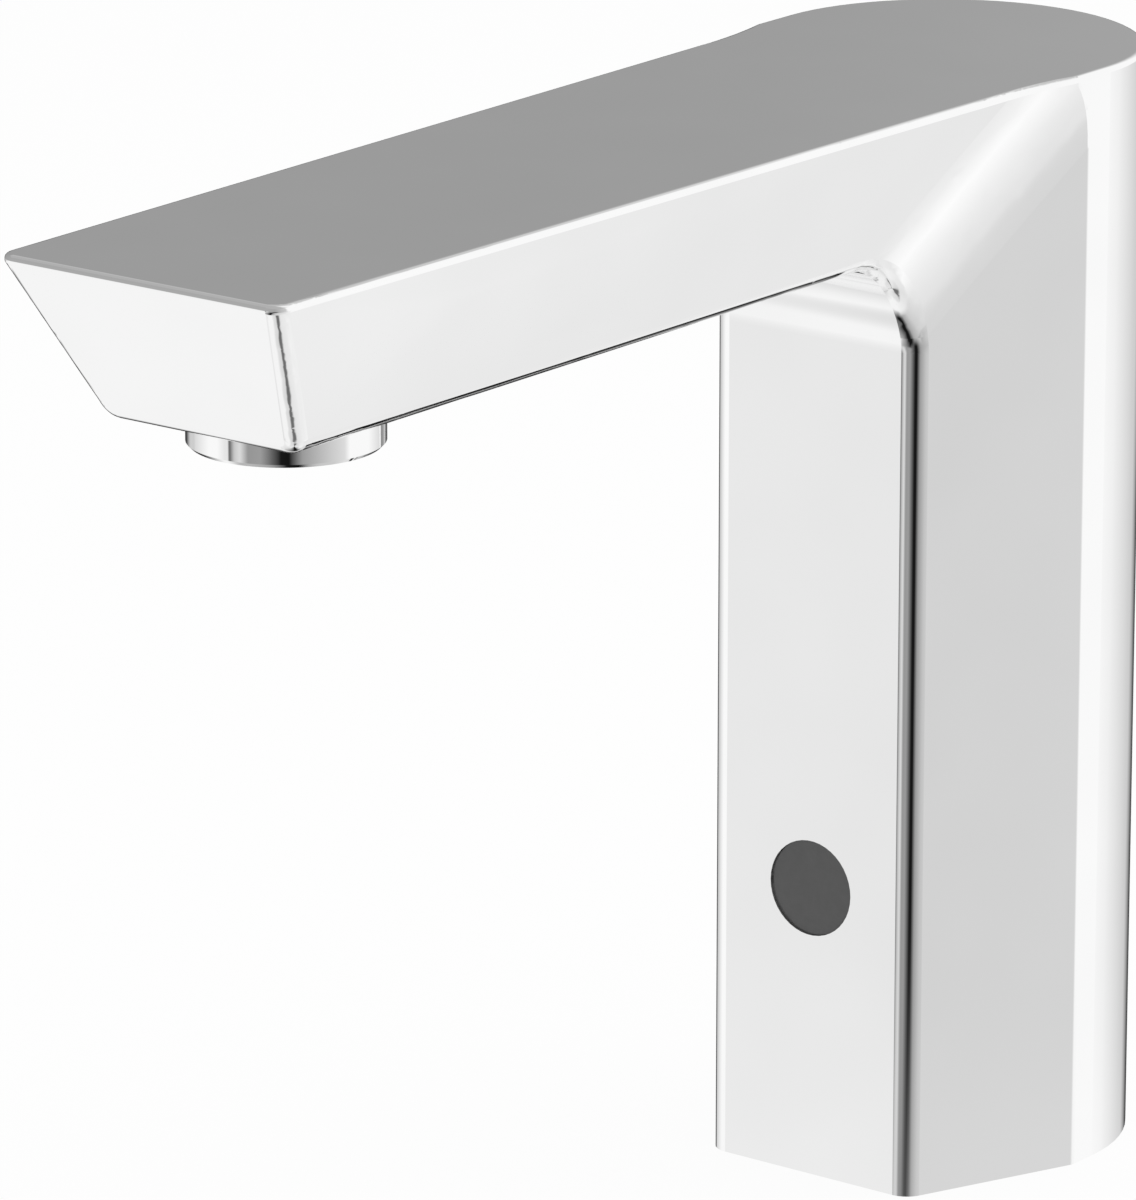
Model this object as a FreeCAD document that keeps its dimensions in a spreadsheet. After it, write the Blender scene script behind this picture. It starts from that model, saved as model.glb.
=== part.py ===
import FreeCAD, Part
import math
import os
import re
import Sketcher

# Deck-mounted sensor tap: a hollow cast column with a broad spout growing out of its top.
# Millimetres, +Z up. The origin is on the deck plane, on the axis of the column's round back.
# The spout points along -Y. The electronics and the valve stand on the base plate in the column.

Vector = FreeCAD.Vector
os.makedirs("parts", exist_ok=True)
document = FreeCAD.newDocument("SensorTap")
sheet = document.addObject("Spreadsheet::Sheet", "Sizes")
aliases = []
nodes = []


def write_sizes(sizes):
    """Give every size of a table a cell of its own, with the size's name as its alias."""
    for alias, size in sizes.items():
        aliases.append(alias)
        row = len(aliases)
        sheet.set("A%d" % row, alias)
        sheet.set("B%d" % row, str(size))
        sheet.setAlias("B%d" % row, alias)
    sheet.recompute()


def with_sheet(formula):
    """Point every size named in a formula at its cell."""
    return re.sub(r"[a-z_]+", lambda word: "Sizes." + word[0] if word[0] in aliases else word[0], formula)


def value(formula):
    """The number that a formula of named sizes has now."""
    return float(sheet.evalExpression(formula))


def bind(item, name, formula):
    item.setExpression(name, with_sheet(formula))


def place(item, x="0", y="0", z="0", turn=None):
    if turn:
        item.Placement = FreeCAD.Placement(Vector(), FreeCAD.Rotation(*turn))
    bind(item, "Placement.Base.x", x)
    bind(item, "Placement.Base.y", y)
    bind(item, "Placement.Base.z", z)


def cylinder(name, radius, low, high, x="0", y="0"):
    """A round bar or bore along Z from the low to the high level."""
    item = document.addObject("Part::Cylinder", name)
    bind(item, "Radius", radius)
    bind(item, "Height", "(%s) - (%s)" % (high, low))
    place(item, x, y, low)
    return item


def lying_cylinder(name, radius, near, far, x, z):
    """A round bar or bore along Y from the near (front) to the far end."""
    item = document.addObject("Part::Cylinder", name)
    bind(item, "Radius", radius)
    bind(item, "Height", "(%s) - (%s)" % (far, near))
    place(item, x, far, z, (Vector(1, 0, 0), 90))
    return item


def box(name, x, y, z):
    """A block between a low and a high formula along each axis."""
    item = document.addObject("Part::Box", name)
    for side, span in (("Length", x), ("Width", y), ("Height", z)):
        bind(item, side, "(%s) - (%s)" % (span[1], span[0]))
    place(item, x[0], y[0], z[0])
    return item


def fuse(name, *items):
    item = document.addObject("Part::MultiFuse", name)
    item.Shapes = list(items)
    return item


def common(name, *items):
    item = document.addObject("Part::MultiCommon", name)
    item.Shapes = list(items)
    return item


def cut(name, base, *tools):
    item = document.addObject("Part::Cut", name)
    item.Base = base
    item.Tool = tools[0] if len(tools) == 1 else fuse(name + "_tools", *tools)
    return item


def group(name, items):
    item = document.addObject("Part::Compound", name)
    item.Links = list(items)
    return item


def node(item, label):
    """Name a finished piece and keep it for export."""
    item.Label = label
    nodes.append(item)
    return item


def origin_plane(body, role):
    return next(plane for plane in body.Origin.OriginFeatures if plane.Role == role)


def outline(body, name, plane, corners, arc=None, offset=None):
    """A closed sketch through corners given as formulas; the side numbered arc is a half circle."""
    sketch = body.newObject("Sketcher::SketchObject", name)
    sketch.AttachmentSupport = [(origin_plane(body, plane), "")]
    sketch.MapMode = "FlatFace"
    points = [Vector(value(x), value(y), 0) for x, y in corners]
    count = len(points)
    for side in range(count):
        start = points[side]
        end = points[(side + 1) % count]
        if side == arc:
            middle = (start + end) / 2
            circle = Part.Circle(middle, Vector(0, 0, 1), (end - start).Length / 2)
            turn = math.atan2(start.y - middle.y, start.x - middle.x)
            sketch.addGeometry(Part.ArcOfCircle(circle, turn, turn + math.pi))
        else:
            sketch.addGeometry(Part.LineSegment(start, end))
    for side in range(count):
        sketch.addConstraint(Sketcher.Constraint("Coincident", side, 2, (side + 1) % count, 1))
    for side, formulas in enumerate(corners):
        for kind, formula in zip(("DistanceX", "DistanceY"), formulas):
            number = sketch.addConstraint(Sketcher.Constraint(kind, -1, 1, side, 1, value(formula)))
            bind(sketch, "Constraints[%d]" % number, formula)
    if arc is not None:
        sketch.addConstraint(Sketcher.Constraint("PointOnObject", arc, 3, -1))
    if offset:
        bind(sketch, "AttachmentOffset.Base.z", offset)
    return sketch


def pad(name, plane, corners, length, arc=None, offset=None, both_ways=False):
    """A body padded from one outline."""
    body = document.addObject("PartDesign::Body", name)
    sketch = outline(body, name + "_outline", plane, corners, arc, offset)
    feature = body.newObject("PartDesign::Pad", name + "_pad")
    feature.Profile = sketch
    if both_ways:
        feature.SideType = "Symmetric"
    bind(feature, "Length", length)
    return body


def turned(name, profile, x="0", y="0", z="0", turn=None):
    """A turned body: its half section as (radius, height) corners, spun about its own axis."""
    body = document.addObject("PartDesign::Body", name)
    sketch = outline(body, name + "_section", "XZ_Plane", profile)
    feature = body.newObject("PartDesign::Revolution", name + "_turn")
    feature.Profile = sketch
    feature.ReferenceAxis = (sketch, ["V_Axis"])
    feature.Angle = 360
    place(body, x, y, z, turn)
    return body


FACING_FRONT = (Vector(1, 0, 0), 90)


def ring(name, outer, inner, low, high, x="0", y="0", z="0", turn=None):
    return turned(name, [(inner, low), (outer, low), (outer, high), (inner, high)], x, y, z, turn)


def edges_at(shape, spots):
    """Numbers of the edges that pass through the given points."""
    numbers = []
    for spot in spots:
        vertex = Part.Vertex(spot)
        for number, edge in enumerate(shape.Edges, 1):
            if edge.distToShape(vertex)[0] < 0.02 and number not in numbers:
                numbers.append(number)
    return numbers


def rounded(name, base, radius, choose):
    """Round the edges of base that the chooser picks."""
    document.recompute()
    item = document.addObject("Part::Fillet", name)
    item.Base = base
    item.Edges = [(number, value(radius), value(radius)) for number in choose(base.Shape)]
    document.recompute()
    return item


# ---------------------------------------------------------------- cast body: driving sizes
BODY_SIZES = {
    "overall_height": 160,
    "front_distance": 31,
    "back_radius": 27.75,
    "kink_distance": 4.8,
    "front_half_width": 17.1,
    "wall": 2.75,
    "spout_half_width": 26.2,
    "spout_taper": 0.019,
    "spout_flare": 0.4,
    "tip_flare": 0.32,
    "spout_length": 144.7,
    "spout_depth": 22.6,
    "tip_depth": 23,
    "tip_setback": 12.6,
    "inner_corner_radius": 14,
    "crease_radius": 36,
    "kink_radius": 2,
    "long_edge_radius": 3.4,
    "tip_edge_radius": 2.4,
    "rim_radius": 0.8,
    "run_out": 60,
    "front_run_out": 24,
    "flank_drop": 60,
    "overshoot": 5,
    "overcut": 1,
}
write_sizes(BODY_SIZES)

SLOPE = "((back_radius - front_half_width) / (front_distance - kink_distance))"
TWIST = "((spout_flare - tip_flare) / spout_length)"


def facet_x(forward):
    """Half width of the column's side facet at a distance behind the front face."""
    return "front_half_width + %s * (%s)" % (SLOPE, forward)


def spout_x(behind, level):
    """Half width of the spout's flank at a distance behind the front face and a level."""
    flare = "(spout_flare + %s * (%s))" % (TWIST, behind)
    return "spout_half_width + spout_taper * (%s) + %s * ((%s) - overall_height)" % (behind, flare, level)


def wedge(name, thinner, low, high, front, back):
    """The spout's two flanks as a solid, drawn in by thinner on each side."""
    body = document.addObject("PartDesign::Body", name)
    sections = []
    for place_name, behind in (("front", front), ("back", back)):
        bottom = "%s - (%s)" % (spout_x(behind, low), thinner)
        top = "%s - (%s)" % (spout_x(behind, high), thinner)
        corners = [
            ("-(%s)" % bottom, low),
            (bottom, low),
            (top, high),
            ("-(%s)" % top, high),
        ]
        offset = "front_distance - (%s)" % behind
        sections.append(outline(body, name + "_" + place_name, "XZ_Plane", corners, None, offset))
    feature = body.newObject("PartDesign::AdditiveLoft", name + "_loft")
    feature.Profile = sections[0]
    feature.Sections = [sections[1]]
    feature.Ruled = True
    return body


def column_outline(name, inset, low, height):
    """The column's plan drawn in by inset: flat front, two facets, straight flanks and a round back."""
    stretch = "sqrt(1 + %s ^ 2)" % SLOPE
    front_x = "front_half_width + %s * (%s) - (%s) * %s" % (SLOPE, inset, inset, stretch)
    flank_x = "back_radius - (%s)" % inset
    kink_y = "-front_distance + (%s - front_half_width + (%s) * %s) / %s" % (flank_x, inset, stretch, SLOPE)
    front_y = "-(front_distance - (%s))" % inset
    corners = [
        ("-(%s)" % front_x, front_y),
        (front_x, front_y),
        (flank_x, kink_y),
        (flank_x, "0"),
        ("-(%s)" % flank_x, "0"),
        ("-(%s)" % flank_x, kink_y),
    ]
    return pad(name, "XY_Plane", corners, height, 3, low)


# The outer form is what three simple prisms have in common: the side planes seen from above
# (column facets running into the spout's flanks), the profile seen from the side, and the
# round-backed plan. The concave crease between facet and flank is rounded before they meet.
facet_prism = pad(
    "facet_prism",
    "XY_Plane",
    [
        ("-(%s)" % facet_x("-front_run_out"), "-front_distance - front_run_out"),
        (facet_x("-front_run_out"), "-front_distance - front_run_out"),
        (facet_x("run_out"), "-front_distance + run_out"),
        ("-(%s)" % facet_x("run_out"), "-front_distance + run_out"),
    ],
    "overall_height + 2 * overshoot",
    offset="-overshoot",
)
flank_prism = wedge(
    "flank_prism",
    "0",
    "overall_height - flank_drop",
    "overall_height + overshoot",
    "-spout_length - overshoot",
    "run_out",
)
side_planes = fuse("side_planes", facet_prism, flank_prism)


def crease_spots(shape):
    level = value("overall_height - spout_depth")
    start = value(spout_x("0", "overall_height - spout_depth")) - value("front_half_width")
    behind = start / (value(SLOPE) - value("spout_taper") + value(TWIST) * value("spout_depth"))
    x = value(facet_x(str(behind)))
    y = behind - value("front_distance")
    return edges_at(shape, [Vector(x, y, level), Vector(-x, y, level)])


creased = rounded("creased", side_planes, "crease_radius", crease_spots)

side_profile = pad(
    "side_profile",
    "YZ_Plane",
    [
        ("-front_distance", "0"),
        ("-front_distance + run_out", "0"),
        ("-front_distance + run_out", "overall_height"),
        ("-front_distance - spout_length", "overall_height"),
        ("-front_distance - spout_length + tip_setback", "overall_height - tip_depth"),
        ("-front_distance", "overall_height - spout_depth"),
    ],
    "4 * back_radius",
    both_ways=True,
)
inner_corner = rounded(
    "inner_corner",
    side_profile,
    "inner_corner_radius",
    lambda shape: edges_at(
        shape, [Vector(0, value("-front_distance"), value("overall_height - spout_depth"))]
    ),
)
plan = pad(
    "plan",
    "XY_Plane",
    [
        ("-back_radius", "-front_distance - spout_length - overshoot"),
        ("back_radius", "-front_distance - spout_length - overshoot"),
        ("back_radius", "0"),
        ("-back_radius", "0"),
    ],
    "overall_height + 2 * overshoot",
    arc=2,
    offset="-overshoot",
)
raw_form = common("raw_form", creased, inner_corner, plan)


def samples(edge):
    span = edge.LastParameter - edge.FirstParameter
    return [edge.valueAt(edge.FirstParameter + span * part) for part in (0, 0.5, 1)]


def kink_edges(shape):
    y = value("-kink_distance")
    x = value("back_radius")
    level = value("overall_height") / 2
    return edges_at(shape, [Vector(x, y, level), Vector(-x, y, level)])


def long_edges(shape):
    """Edges where the flanks and facets meet the front face, the inner corner or the underside."""
    chosen = []
    tip = value("-front_distance - spout_length + tip_setback")
    for number, edge in enumerate(shape.Edges, 1):
        points = samples(edge)
        middle = points[1]
        below_top = middle.z < value("overall_height") - 1 and middle.z > 1
        off_tip = max(point.y for point in points) > tip + 0.5
        on_profile = all(inner_corner.Shape.distToShape(Part.Vertex(point))[0] < 0.01 for point in points)
        in_front = middle.y < value("-front_distance") + 0.01
        sideways = abs(middle.x) > 1
        if below_top and off_tip and on_profile and in_front and sideways:
            chosen.append(number)
    return chosen


def tip_edges(shape):
    """The outline of the slanted tip, apart from its top edge."""
    chosen = []
    corner = Vector(0, value("-front_distance - spout_length"), value("overall_height"))
    outward = Vector(0, -value("tip_depth"), -value("tip_setback")).normalize()
    for number, edge in enumerate(shape.Edges, 1):
        on_tip = all(abs((point - corner).dot(outward)) < 0.001 for point in samples(edge))
        if on_tip and samples(edge)[1].z < corner.z - 0.1:
            chosen.append(number)
    return chosen


def top_edges(shape):
    level = value("overall_height")
    return [
        number
        for number, edge in enumerate(shape.Edges, 1)
        if all(abs(point.z - level) < 0.0001 for point in samples(edge))
    ]


soft_kink = rounded("soft_kink", raw_form, "kink_radius", kink_edges)
soft_long_edges = rounded("soft_long_edges", soft_kink, "long_edge_radius", long_edges)
soft_tip = rounded("soft_tip", soft_long_edges, "tip_edge_radius", tip_edges)
outer_form = rounded("outer_form", soft_tip, "rim_radius", top_edges)

# ---------------------------------------------------------------- body_shell: the one-piece casting
# Plated brass, hollow from the foot up and along the spout. Inside it has four screw posts at
# the foot and a threaded boss for the aerator near the tip.
CASTING_SIZES = {
    "plate_thickness": 9,
    "post_radius": 5.4,
    "post_inset": 5.3,
    "post_height": 12,
    "front_post_x": 11.5,
    "rear_post_x": 14,
    "screw_radius": 1.5,
    "thread_gap": 0.02,
    "screw_grip": 8,
    "screw_tip_gap": 1,
    "outlet_reach": 146,
    "collar_thread_radius": 12,
    "collar_seat_drop": 22.6,
    "collar_seat_radius": 13.6,
    "thread_length": 6.6,
    "chamber_radius": 10,
    "chamber_height": 9,
    "boss_wall": 2.75,
    "tube_drop": 10.5,
    "port_radius": 5.2,
    "window_radius": 7,
    "window_level": 42.8,
}
write_sizes(CASTING_SIZES)
FRONT_POST_Y = "(-front_distance + wall + post_inset)"
REAR_POST_Y = "sqrt((back_radius - wall - post_inset) ^ 2 - rear_post_x ^ 2)"
POSTS = [
    ("front_post_x", FRONT_POST_Y),
    ("-front_post_x", FRONT_POST_Y),
    ("rear_post_x", REAR_POST_Y),
    ("-rear_post_x", REAR_POST_Y),
]
OUTLET_Y = "(-outlet_reach)"
COLLAR_SEAT = "(overall_height - collar_seat_drop)"
TUBE_LEVEL = "(overall_height - tube_drop)"
FRONT_Y = "(-front_distance)"
CEILING = "(overall_height - wall)"
SPOUT_FLOOR = "(overall_height - tip_depth + wall)"

column_hollow = column_outline("column_hollow", "wall", "0", CEILING)
SIDE_INSET = "wall * sqrt(1 + spout_taper ^ 2 + spout_flare ^ 2)"
TIP_SLOPE = "(tip_setback / tip_depth)"
TIP_INSET = "wall * sqrt(1 + %s ^ 2)" % TIP_SLOPE
hollow_wedge = wedge(
    "hollow_wedge",
    SIDE_INSET,
    "overall_height - spout_depth - wall",
    CEILING,
    "-spout_length",
    "2 * wall",
)
hollow_profile = pad(
    "hollow_profile",
    "YZ_Plane",
    [
        ("-front_distance + 2 * wall", "overall_height - spout_depth + wall"),
        ("-front_distance + 2 * wall", CEILING),
        ("-front_distance - spout_length + wall * %s + %s" % (TIP_SLOPE, TIP_INSET), CEILING),
        (
            "-front_distance - spout_length + (tip_depth - wall) * %s + %s" % (TIP_SLOPE, TIP_INSET),
            SPOUT_FLOOR,
        ),
    ],
    "4 * back_radius",
    both_ways=True,
)
spout_hollow = common("spout_hollow", hollow_wedge, hollow_profile)
posts = [
    cylinder("post_%d" % number, "post_radius", "plate_thickness", "plate_thickness + post_height", x, y)
    for number, (x, y) in enumerate(POSTS, 1)
]
outlet_boss = cylinder(
    "outlet_boss", "collar_thread_radius + boss_wall", SPOUT_FLOOR, CEILING, "0", OUTLET_Y
)
core = cut("core", fuse("hollows", column_hollow, spout_hollow), fuse("posts", *posts), outlet_boss)
post_threads = [
    cylinder(
        "post_thread_%d" % number,
        "screw_radius + thread_gap",
        "plate_thickness",
        "plate_thickness + screw_grip + screw_tip_gap",
        x,
        y,
    )
    for number, (x, y) in enumerate(POSTS, 1)
]
collar_seat = cylinder(
    "collar_seat", "collar_seat_radius", COLLAR_SEAT + " - wall", COLLAR_SEAT, "0", OUTLET_Y
)
collar_thread = cylinder(
    "collar_thread",
    "collar_thread_radius",
    COLLAR_SEAT,
    COLLAR_SEAT + " + thread_length",
    "0",
    OUTLET_Y,
)
CHAMBER_FLOOR = "(%s + thread_length)" % COLLAR_SEAT
chamber = cylinder(
    "chamber", "chamber_radius", CHAMBER_FLOOR, CHAMBER_FLOOR + " + chamber_height", "0", OUTLET_Y
)
outlet_port = lying_cylinder(
    "outlet_port",
    "port_radius",
    OUTLET_Y,
    OUTLET_Y + " + collar_thread_radius + 2 * boss_wall",
    "0",
    TUBE_LEVEL,
)
window_hole = lying_cylinder(
    "window_hole", "window_radius", FRONT_Y + " - overcut", FRONT_Y + " + wall + overcut", "0", "window_level"
)
node(
    cut(
        "body_casting",
        outer_form,
        core,
        fuse("post_threads", *post_threads),
        collar_seat,
        collar_thread,
        chamber,
        outlet_port,
        window_hole,
    ),
    "body_shell",
)

# ---------------------------------------------------------------- base_plate, base_seal, base_screws
# A brass plate closes the foot and carries the valve. A rubber ring in its rebate seals the tap
# to the deck. The hose thread and the blind stud thread open downwards, inside one deck hole.
BASE_SIZES = {
    "plate_gap": 0.2,
    "seal_gap": 0.08,
    "seal_width": 2,
    "seal_height": 2.2,
    "inlet_x": 7,
    "inlet_thread_radius": 4.5,
    "stud_x": 8.5,
    "stud_y": 2,
    "stud_thread_radius": 3.4,
    "stud_thread_depth": 15,
    "stud_boss_radius": 6,
    "stud_boss_height": 8,
    "gasket_thickness": 1,
    "gasket_radius": 8.4,
    "gasket_step": 0.5,
    "screw_hole_radius": 1.7,
    "screw_head_radius": 3,
    "screw_head_height": 1.6,
    "screw_head_depth": 0.3,
    "socket_radius": 1.15,
    "socket_depth": 1.2,
    "ear_screw_depth": 5,
    "side_ear_reach": 10.5,
    "front_ear_reach": 11.5,
    "sink_gap": 0.1,
    "frame_foot_x": 17,
    "frame_foot_y": 9.5,
}
write_sizes(BASE_SIZES)
INLET_X = "(-inlet_x)"
EARS = [("-inlet_x - side_ear_reach", "0"), (INLET_X, "-front_ear_reach")]
FEET = [("frame_foot_x", "-frame_foot_y"), ("-frame_foot_x", "-frame_foot_y")]
GASKET_FLOOR = "(plate_thickness - gasket_thickness)"

plate_foot = column_outline("plate_foot", "wall + seal_width + 2 * seal_gap", "0", "plate_thickness")
plate_top = column_outline(
    "plate_top", "wall + plate_gap", "seal_height + seal_gap", "plate_thickness - seal_height - seal_gap"
)
stud_boss = cylinder(
    "stud_boss",
    "stud_boss_radius",
    "plate_thickness",
    "plate_thickness + stud_boss_height",
    "stud_x",
    "-stud_y",
)
plate_holes = [
    cylinder("inlet_thread", "inlet_thread_radius", "-overcut", GASKET_FLOOR, INLET_X, "0"),
    cylinder(
        "gasket_recess",
        "gasket_radius + seal_gap",
        GASKET_FLOOR,
        "plate_thickness + overcut",
        INLET_X,
        "0",
    ),
    cylinder("stud_thread", "stud_thread_radius", "-overcut", "stud_thread_depth", "stud_x", "-stud_y"),
]
for number, (x, y) in enumerate(POSTS, 1):
    plate_holes.append(
        cylinder("plate_hole_%d" % number, "screw_hole_radius", "-overcut", "plate_thickness + overcut", x, y)
    )
    plate_holes.append(
        turned(
            "plate_sink_%d" % number,
            [
                ("0", "-overcut"),
                ("screw_head_radius + sink_gap", "-overcut"),
                ("screw_head_radius + sink_gap", "screw_head_depth"),
                ("screw_radius + sink_gap", "screw_head_depth + screw_head_height"),
                ("0", "screw_head_depth + screw_head_height"),
            ],
            x,
            y,
        )
    )
for number, (x, y) in enumerate(EARS + FEET, 1):
    plate_holes.append(
        cylinder(
            "carrier_thread_%d" % number,
            "screw_radius + thread_gap",
            "plate_thickness - ear_screw_depth",
            "plate_thickness + overcut",
            x,
            y,
        )
    )
node(
    cut("base_plate_form", fuse("plate_blank", plate_foot, plate_top, stud_boss), *plate_holes),
    "base_plate",
)

seal_outer = column_outline("seal_outer", "wall + seal_gap", "0", "seal_height")
seal_inner = column_outline("seal_inner", "wall + seal_gap + seal_width", "0", "seal_height")
node(cut("base_seal_form", seal_outer, seal_inner), "base_seal")


def socket(name, low, high, x, y):
    """A hexagon socket for the key."""
    item = document.addObject("Part::Prism", name)
    bind(item, "Circumradius", "socket_radius")
    bind(item, "Height", "(%s) - (%s)" % (high, low))
    place(item, x, y, low)
    return item


def countersunk_screw(name, x, y):
    """A flat-headed screw driven upwards from the underside of the plate."""
    body = turned(
        name + "_body",
        [
            ("0", "screw_head_depth"),
            ("screw_head_radius", "screw_head_depth"),
            ("screw_radius", "screw_head_depth + screw_head_height"),
            ("screw_radius", "plate_thickness + screw_grip"),
            ("0", "plate_thickness + screw_grip"),
        ],
        x,
        y,
    )
    return cut(name, body, socket(name + "_socket", "0", "screw_head_depth + socket_depth", x, y))


node(
    group(
        "base_screw_set",
        [countersunk_screw("base_screw_%d" % n, x, y) for n, (x, y) in enumerate(POSTS, 1)],
    ),
    "base_screws",
)

PAN_SCREW_SIZES = {
    "pan_head_radius": 2.7,
    "pan_head_height": 1.9,
    "thread_end_gap": 0.5,
}
write_sizes(PAN_SCREW_SIZES)


def pan_screw(name, seat, grip, x, y):
    """A cap screw driven downwards, its head on the seat level and its shank grip deep."""
    body = turned(
        name + "_body",
        [
            ("0", "%s - (%s)" % (seat, grip)),
            ("screw_radius", "%s - (%s)" % (seat, grip)),
            ("screw_radius", seat),
            ("pan_head_radius", seat),
            ("pan_head_radius", "%s + pan_head_height" % seat),
            ("0", "%s + pan_head_height" % seat),
        ],
        x,
        y,
    )
    top = "%s + pan_head_height" % seat
    return cut(name, body, socket(name + "_socket", "%s - socket_depth" % top, "%s + overcut" % top, x, y))


# ---------------------------------------------------------------- inlet: gasket, filter, check valve
# Water comes up through a strainer and a non-return cartridge held in the valve block's inlet.
INLET_SIZES = {
    "cartridge_radius": 6.5,
    "cartridge_gap": 0.05,
    "cartridge_height": 13.2,
    "cartridge_wall": 1.9,
    "strainer_height": 1.5,
    "strainer_rim": 1.2,
    "strainer_mesh": 0.5,
    "strainer_hole_radius": 0.4875,
    "strainer_pitch": 1.5275,
    "bead": 0.1,
    "valve_seat_radius": 3,
    "valve_seat_height": 2,
    "spider_height": 1.5,
    "spider_hole_radius": 0.975,
    "spider_reach": 3.12,
    "poppet_radius": 3.9,
    "poppet_height": 1.8,
    "stem_radius": 1,
    "stem_gap": 0.05,
    "stem_drop": 0.4,
    "poppet_gap": 0.03,
    "poppet_spring_radius": 2.2,
    "wire_radius": 0.25,
    "spring_end_gap": 0.15,
}
write_sizes(INLET_SIZES)
node(
    ring(
        "inlet_gasket_form",
        "gasket_radius",
        "inlet_thread_radius + gasket_step",
        GASKET_FLOOR,
        "plate_thickness",
        INLET_X,
    ),
    "inlet_gasket",
)
STRAINER_TOP = "(plate_thickness + strainer_height)"
strainer_rim_form = ring(
    "strainer_rim_form",
    "cartridge_radius",
    "cartridge_radius - strainer_rim",
    "plate_thickness",
    STRAINER_TOP,
    INLET_X,
)
strainer_disc = cylinder(
    "strainer_disc",
    "cartridge_radius - strainer_rim + bead",
    "plate_thickness + strainer_height / 2",
    "plate_thickness + strainer_height / 2 + strainer_mesh",
    INLET_X,
)
strainer_holes = []
for row, count in ((1, 6), (2, 12), (3, 18)):
    for place_number in range(count):
        angle = 2 * math.pi * place_number / count
        reach = "%d * strainer_pitch" % row
        strainer_holes.append(
            cylinder(
                "strainer_hole_%d_%d" % (row, place_number),
                "strainer_hole_radius",
                "plate_thickness",
                STRAINER_TOP,
                "%s + %s * %.5f" % (INLET_X, reach, math.cos(angle)),
                "%s * %.5f" % (reach, math.sin(angle)),
            )
        )
node(
    cut("strainer_form", fuse("strainer_blank", strainer_rim_form, strainer_disc), *strainer_holes),
    "inlet_strainer",
)
CARTRIDGE_LOW = STRAINER_TOP
CARTRIDGE_HIGH = "(%s + cartridge_height)" % STRAINER_TOP
SEAT_LEVEL = "(%s + valve_seat_height)" % CARTRIDGE_LOW
SPIDER_LOW = "(%s - spider_height)" % CARTRIDGE_HIGH
cartridge_blank = turned(
    "cartridge_blank",
    [
        ("valve_seat_radius", CARTRIDGE_LOW),
        ("cartridge_radius", CARTRIDGE_LOW),
        ("cartridge_radius", CARTRIDGE_HIGH),
        ("stem_radius + stem_gap", CARTRIDGE_HIGH),
        ("stem_radius + stem_gap", SPIDER_LOW),
        ("cartridge_radius - cartridge_wall", SPIDER_LOW),
        ("cartridge_radius - cartridge_wall", SEAT_LEVEL),
        ("valve_seat_radius", SEAT_LEVEL),
    ],
    INLET_X,
)
spider_holes = []
for number in range(6):
    angle = math.pi * number / 3
    spider_holes.append(
        cylinder(
            "spider_hole_%d" % number,
            "spider_hole_radius",
            SPIDER_LOW + " - overcut",
            CARTRIDGE_HIGH + " + overcut",
            "%s + spider_reach * %.5f" % (INLET_X, math.cos(angle)),
            "spider_reach * %.5f" % math.sin(angle),
        )
    )
node(cut("cartridge_form", cartridge_blank, *spider_holes), "check_valve_sleeve")
POPPET_LOW = "(%s + poppet_gap)" % SEAT_LEVEL
POPPET_HIGH = "(%s + poppet_height)" % POPPET_LOW
node(
    turned(
        "poppet_form",
        [
            ("0", POPPET_LOW),
            ("poppet_radius", POPPET_LOW),
            ("poppet_radius", POPPET_HIGH),
            ("stem_radius", POPPET_HIGH),
            ("stem_radius", CARTRIDGE_HIGH + " - stem_drop"),
            ("0", CARTRIDGE_HIGH + " - stem_drop"),
        ],
        INLET_X,
    ),
    "check_valve_poppet",
)


def biarc(first, first_way, last, last_way):
    """Two tangent arcs from one point and direction to the next."""
    gap = last - first
    ways = first_way + last_way
    spread = 2 * (1 - first_way.dot(last_way))
    reach = (-gap.dot(ways) + math.sqrt(gap.dot(ways) ** 2 + spread * gap.dot(gap))) / spread
    middle = (first + last + (first_way - last_way) * reach) / 2
    return [arc_from(first, first_way, middle), arc_from(middle, None, last, last_way)]


def arc_from(start, way, end, end_way=None):
    """An arc from start to end that leaves along way or arrives along end_way."""
    chord = end - start
    along = Vector(chord).normalize()
    tangent = way if way else end_way
    turn = tangent.getAngle(along)
    side = tangent - along * tangent.dot(along)
    side = Vector(side).normalize() * (1 if way else -1)
    middle = (start + end) / 2 + side * (chord.Length / 2 * math.tan(turn / 2))
    return Part.Arc(start, middle, end).toShape()


def spring(name, turns, radius, low, high, x, y):
    """A coil spring wound from round wire along Z, its ends cut square."""
    coil = value(radius)
    wire = value("wire_radius")
    bottom = value(low) + wire
    rise = (value(high) - wire - bottom) / (2 * math.pi * turns)
    steps = turns * 4
    points = []
    ways = []
    for step in range(steps + 1):
        angle = math.pi / 2 * step
        points.append(Vector(coil * math.cos(angle), coil * math.sin(angle), bottom + rise * angle))
        ways.append(Vector(-coil * math.sin(angle), coil * math.cos(angle), rise).normalize())
    edges = [Part.LineSegment(points[0] - ways[0] * 2 * wire, points[0]).toShape()]
    for step in range(steps):
        edges += biarc(points[step], ways[step], points[step + 1], ways[step + 1])
    edges.append(Part.LineSegment(points[-1], points[-1] + ways[-1] * 2 * wire).toShape())
    path = Part.Wire(edges)
    section = Part.Wire(Part.Circle(points[0] - ways[0] * 2 * wire, ways[0], wire).toShape())
    shape = path.makePipeShell([section], True, False)
    print(name, "gap between turns", round(2 * math.pi * rise - 2 * wire, 3))
    item = document.addObject("Part::Feature", name)
    item.Shape = shape
    item.Placement = FreeCAD.Placement(Vector(value(x), value(y), 0), FreeCAD.Rotation())
    return item


node(
    spring(
        "poppet_spring_form",
        5,
        "poppet_spring_radius",
        POPPET_HIGH + " + spring_end_gap",
        SPIDER_LOW + " - spring_end_gap",
        INLET_X,
        "0",
    ),
    "check_valve_spring",
)

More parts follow.
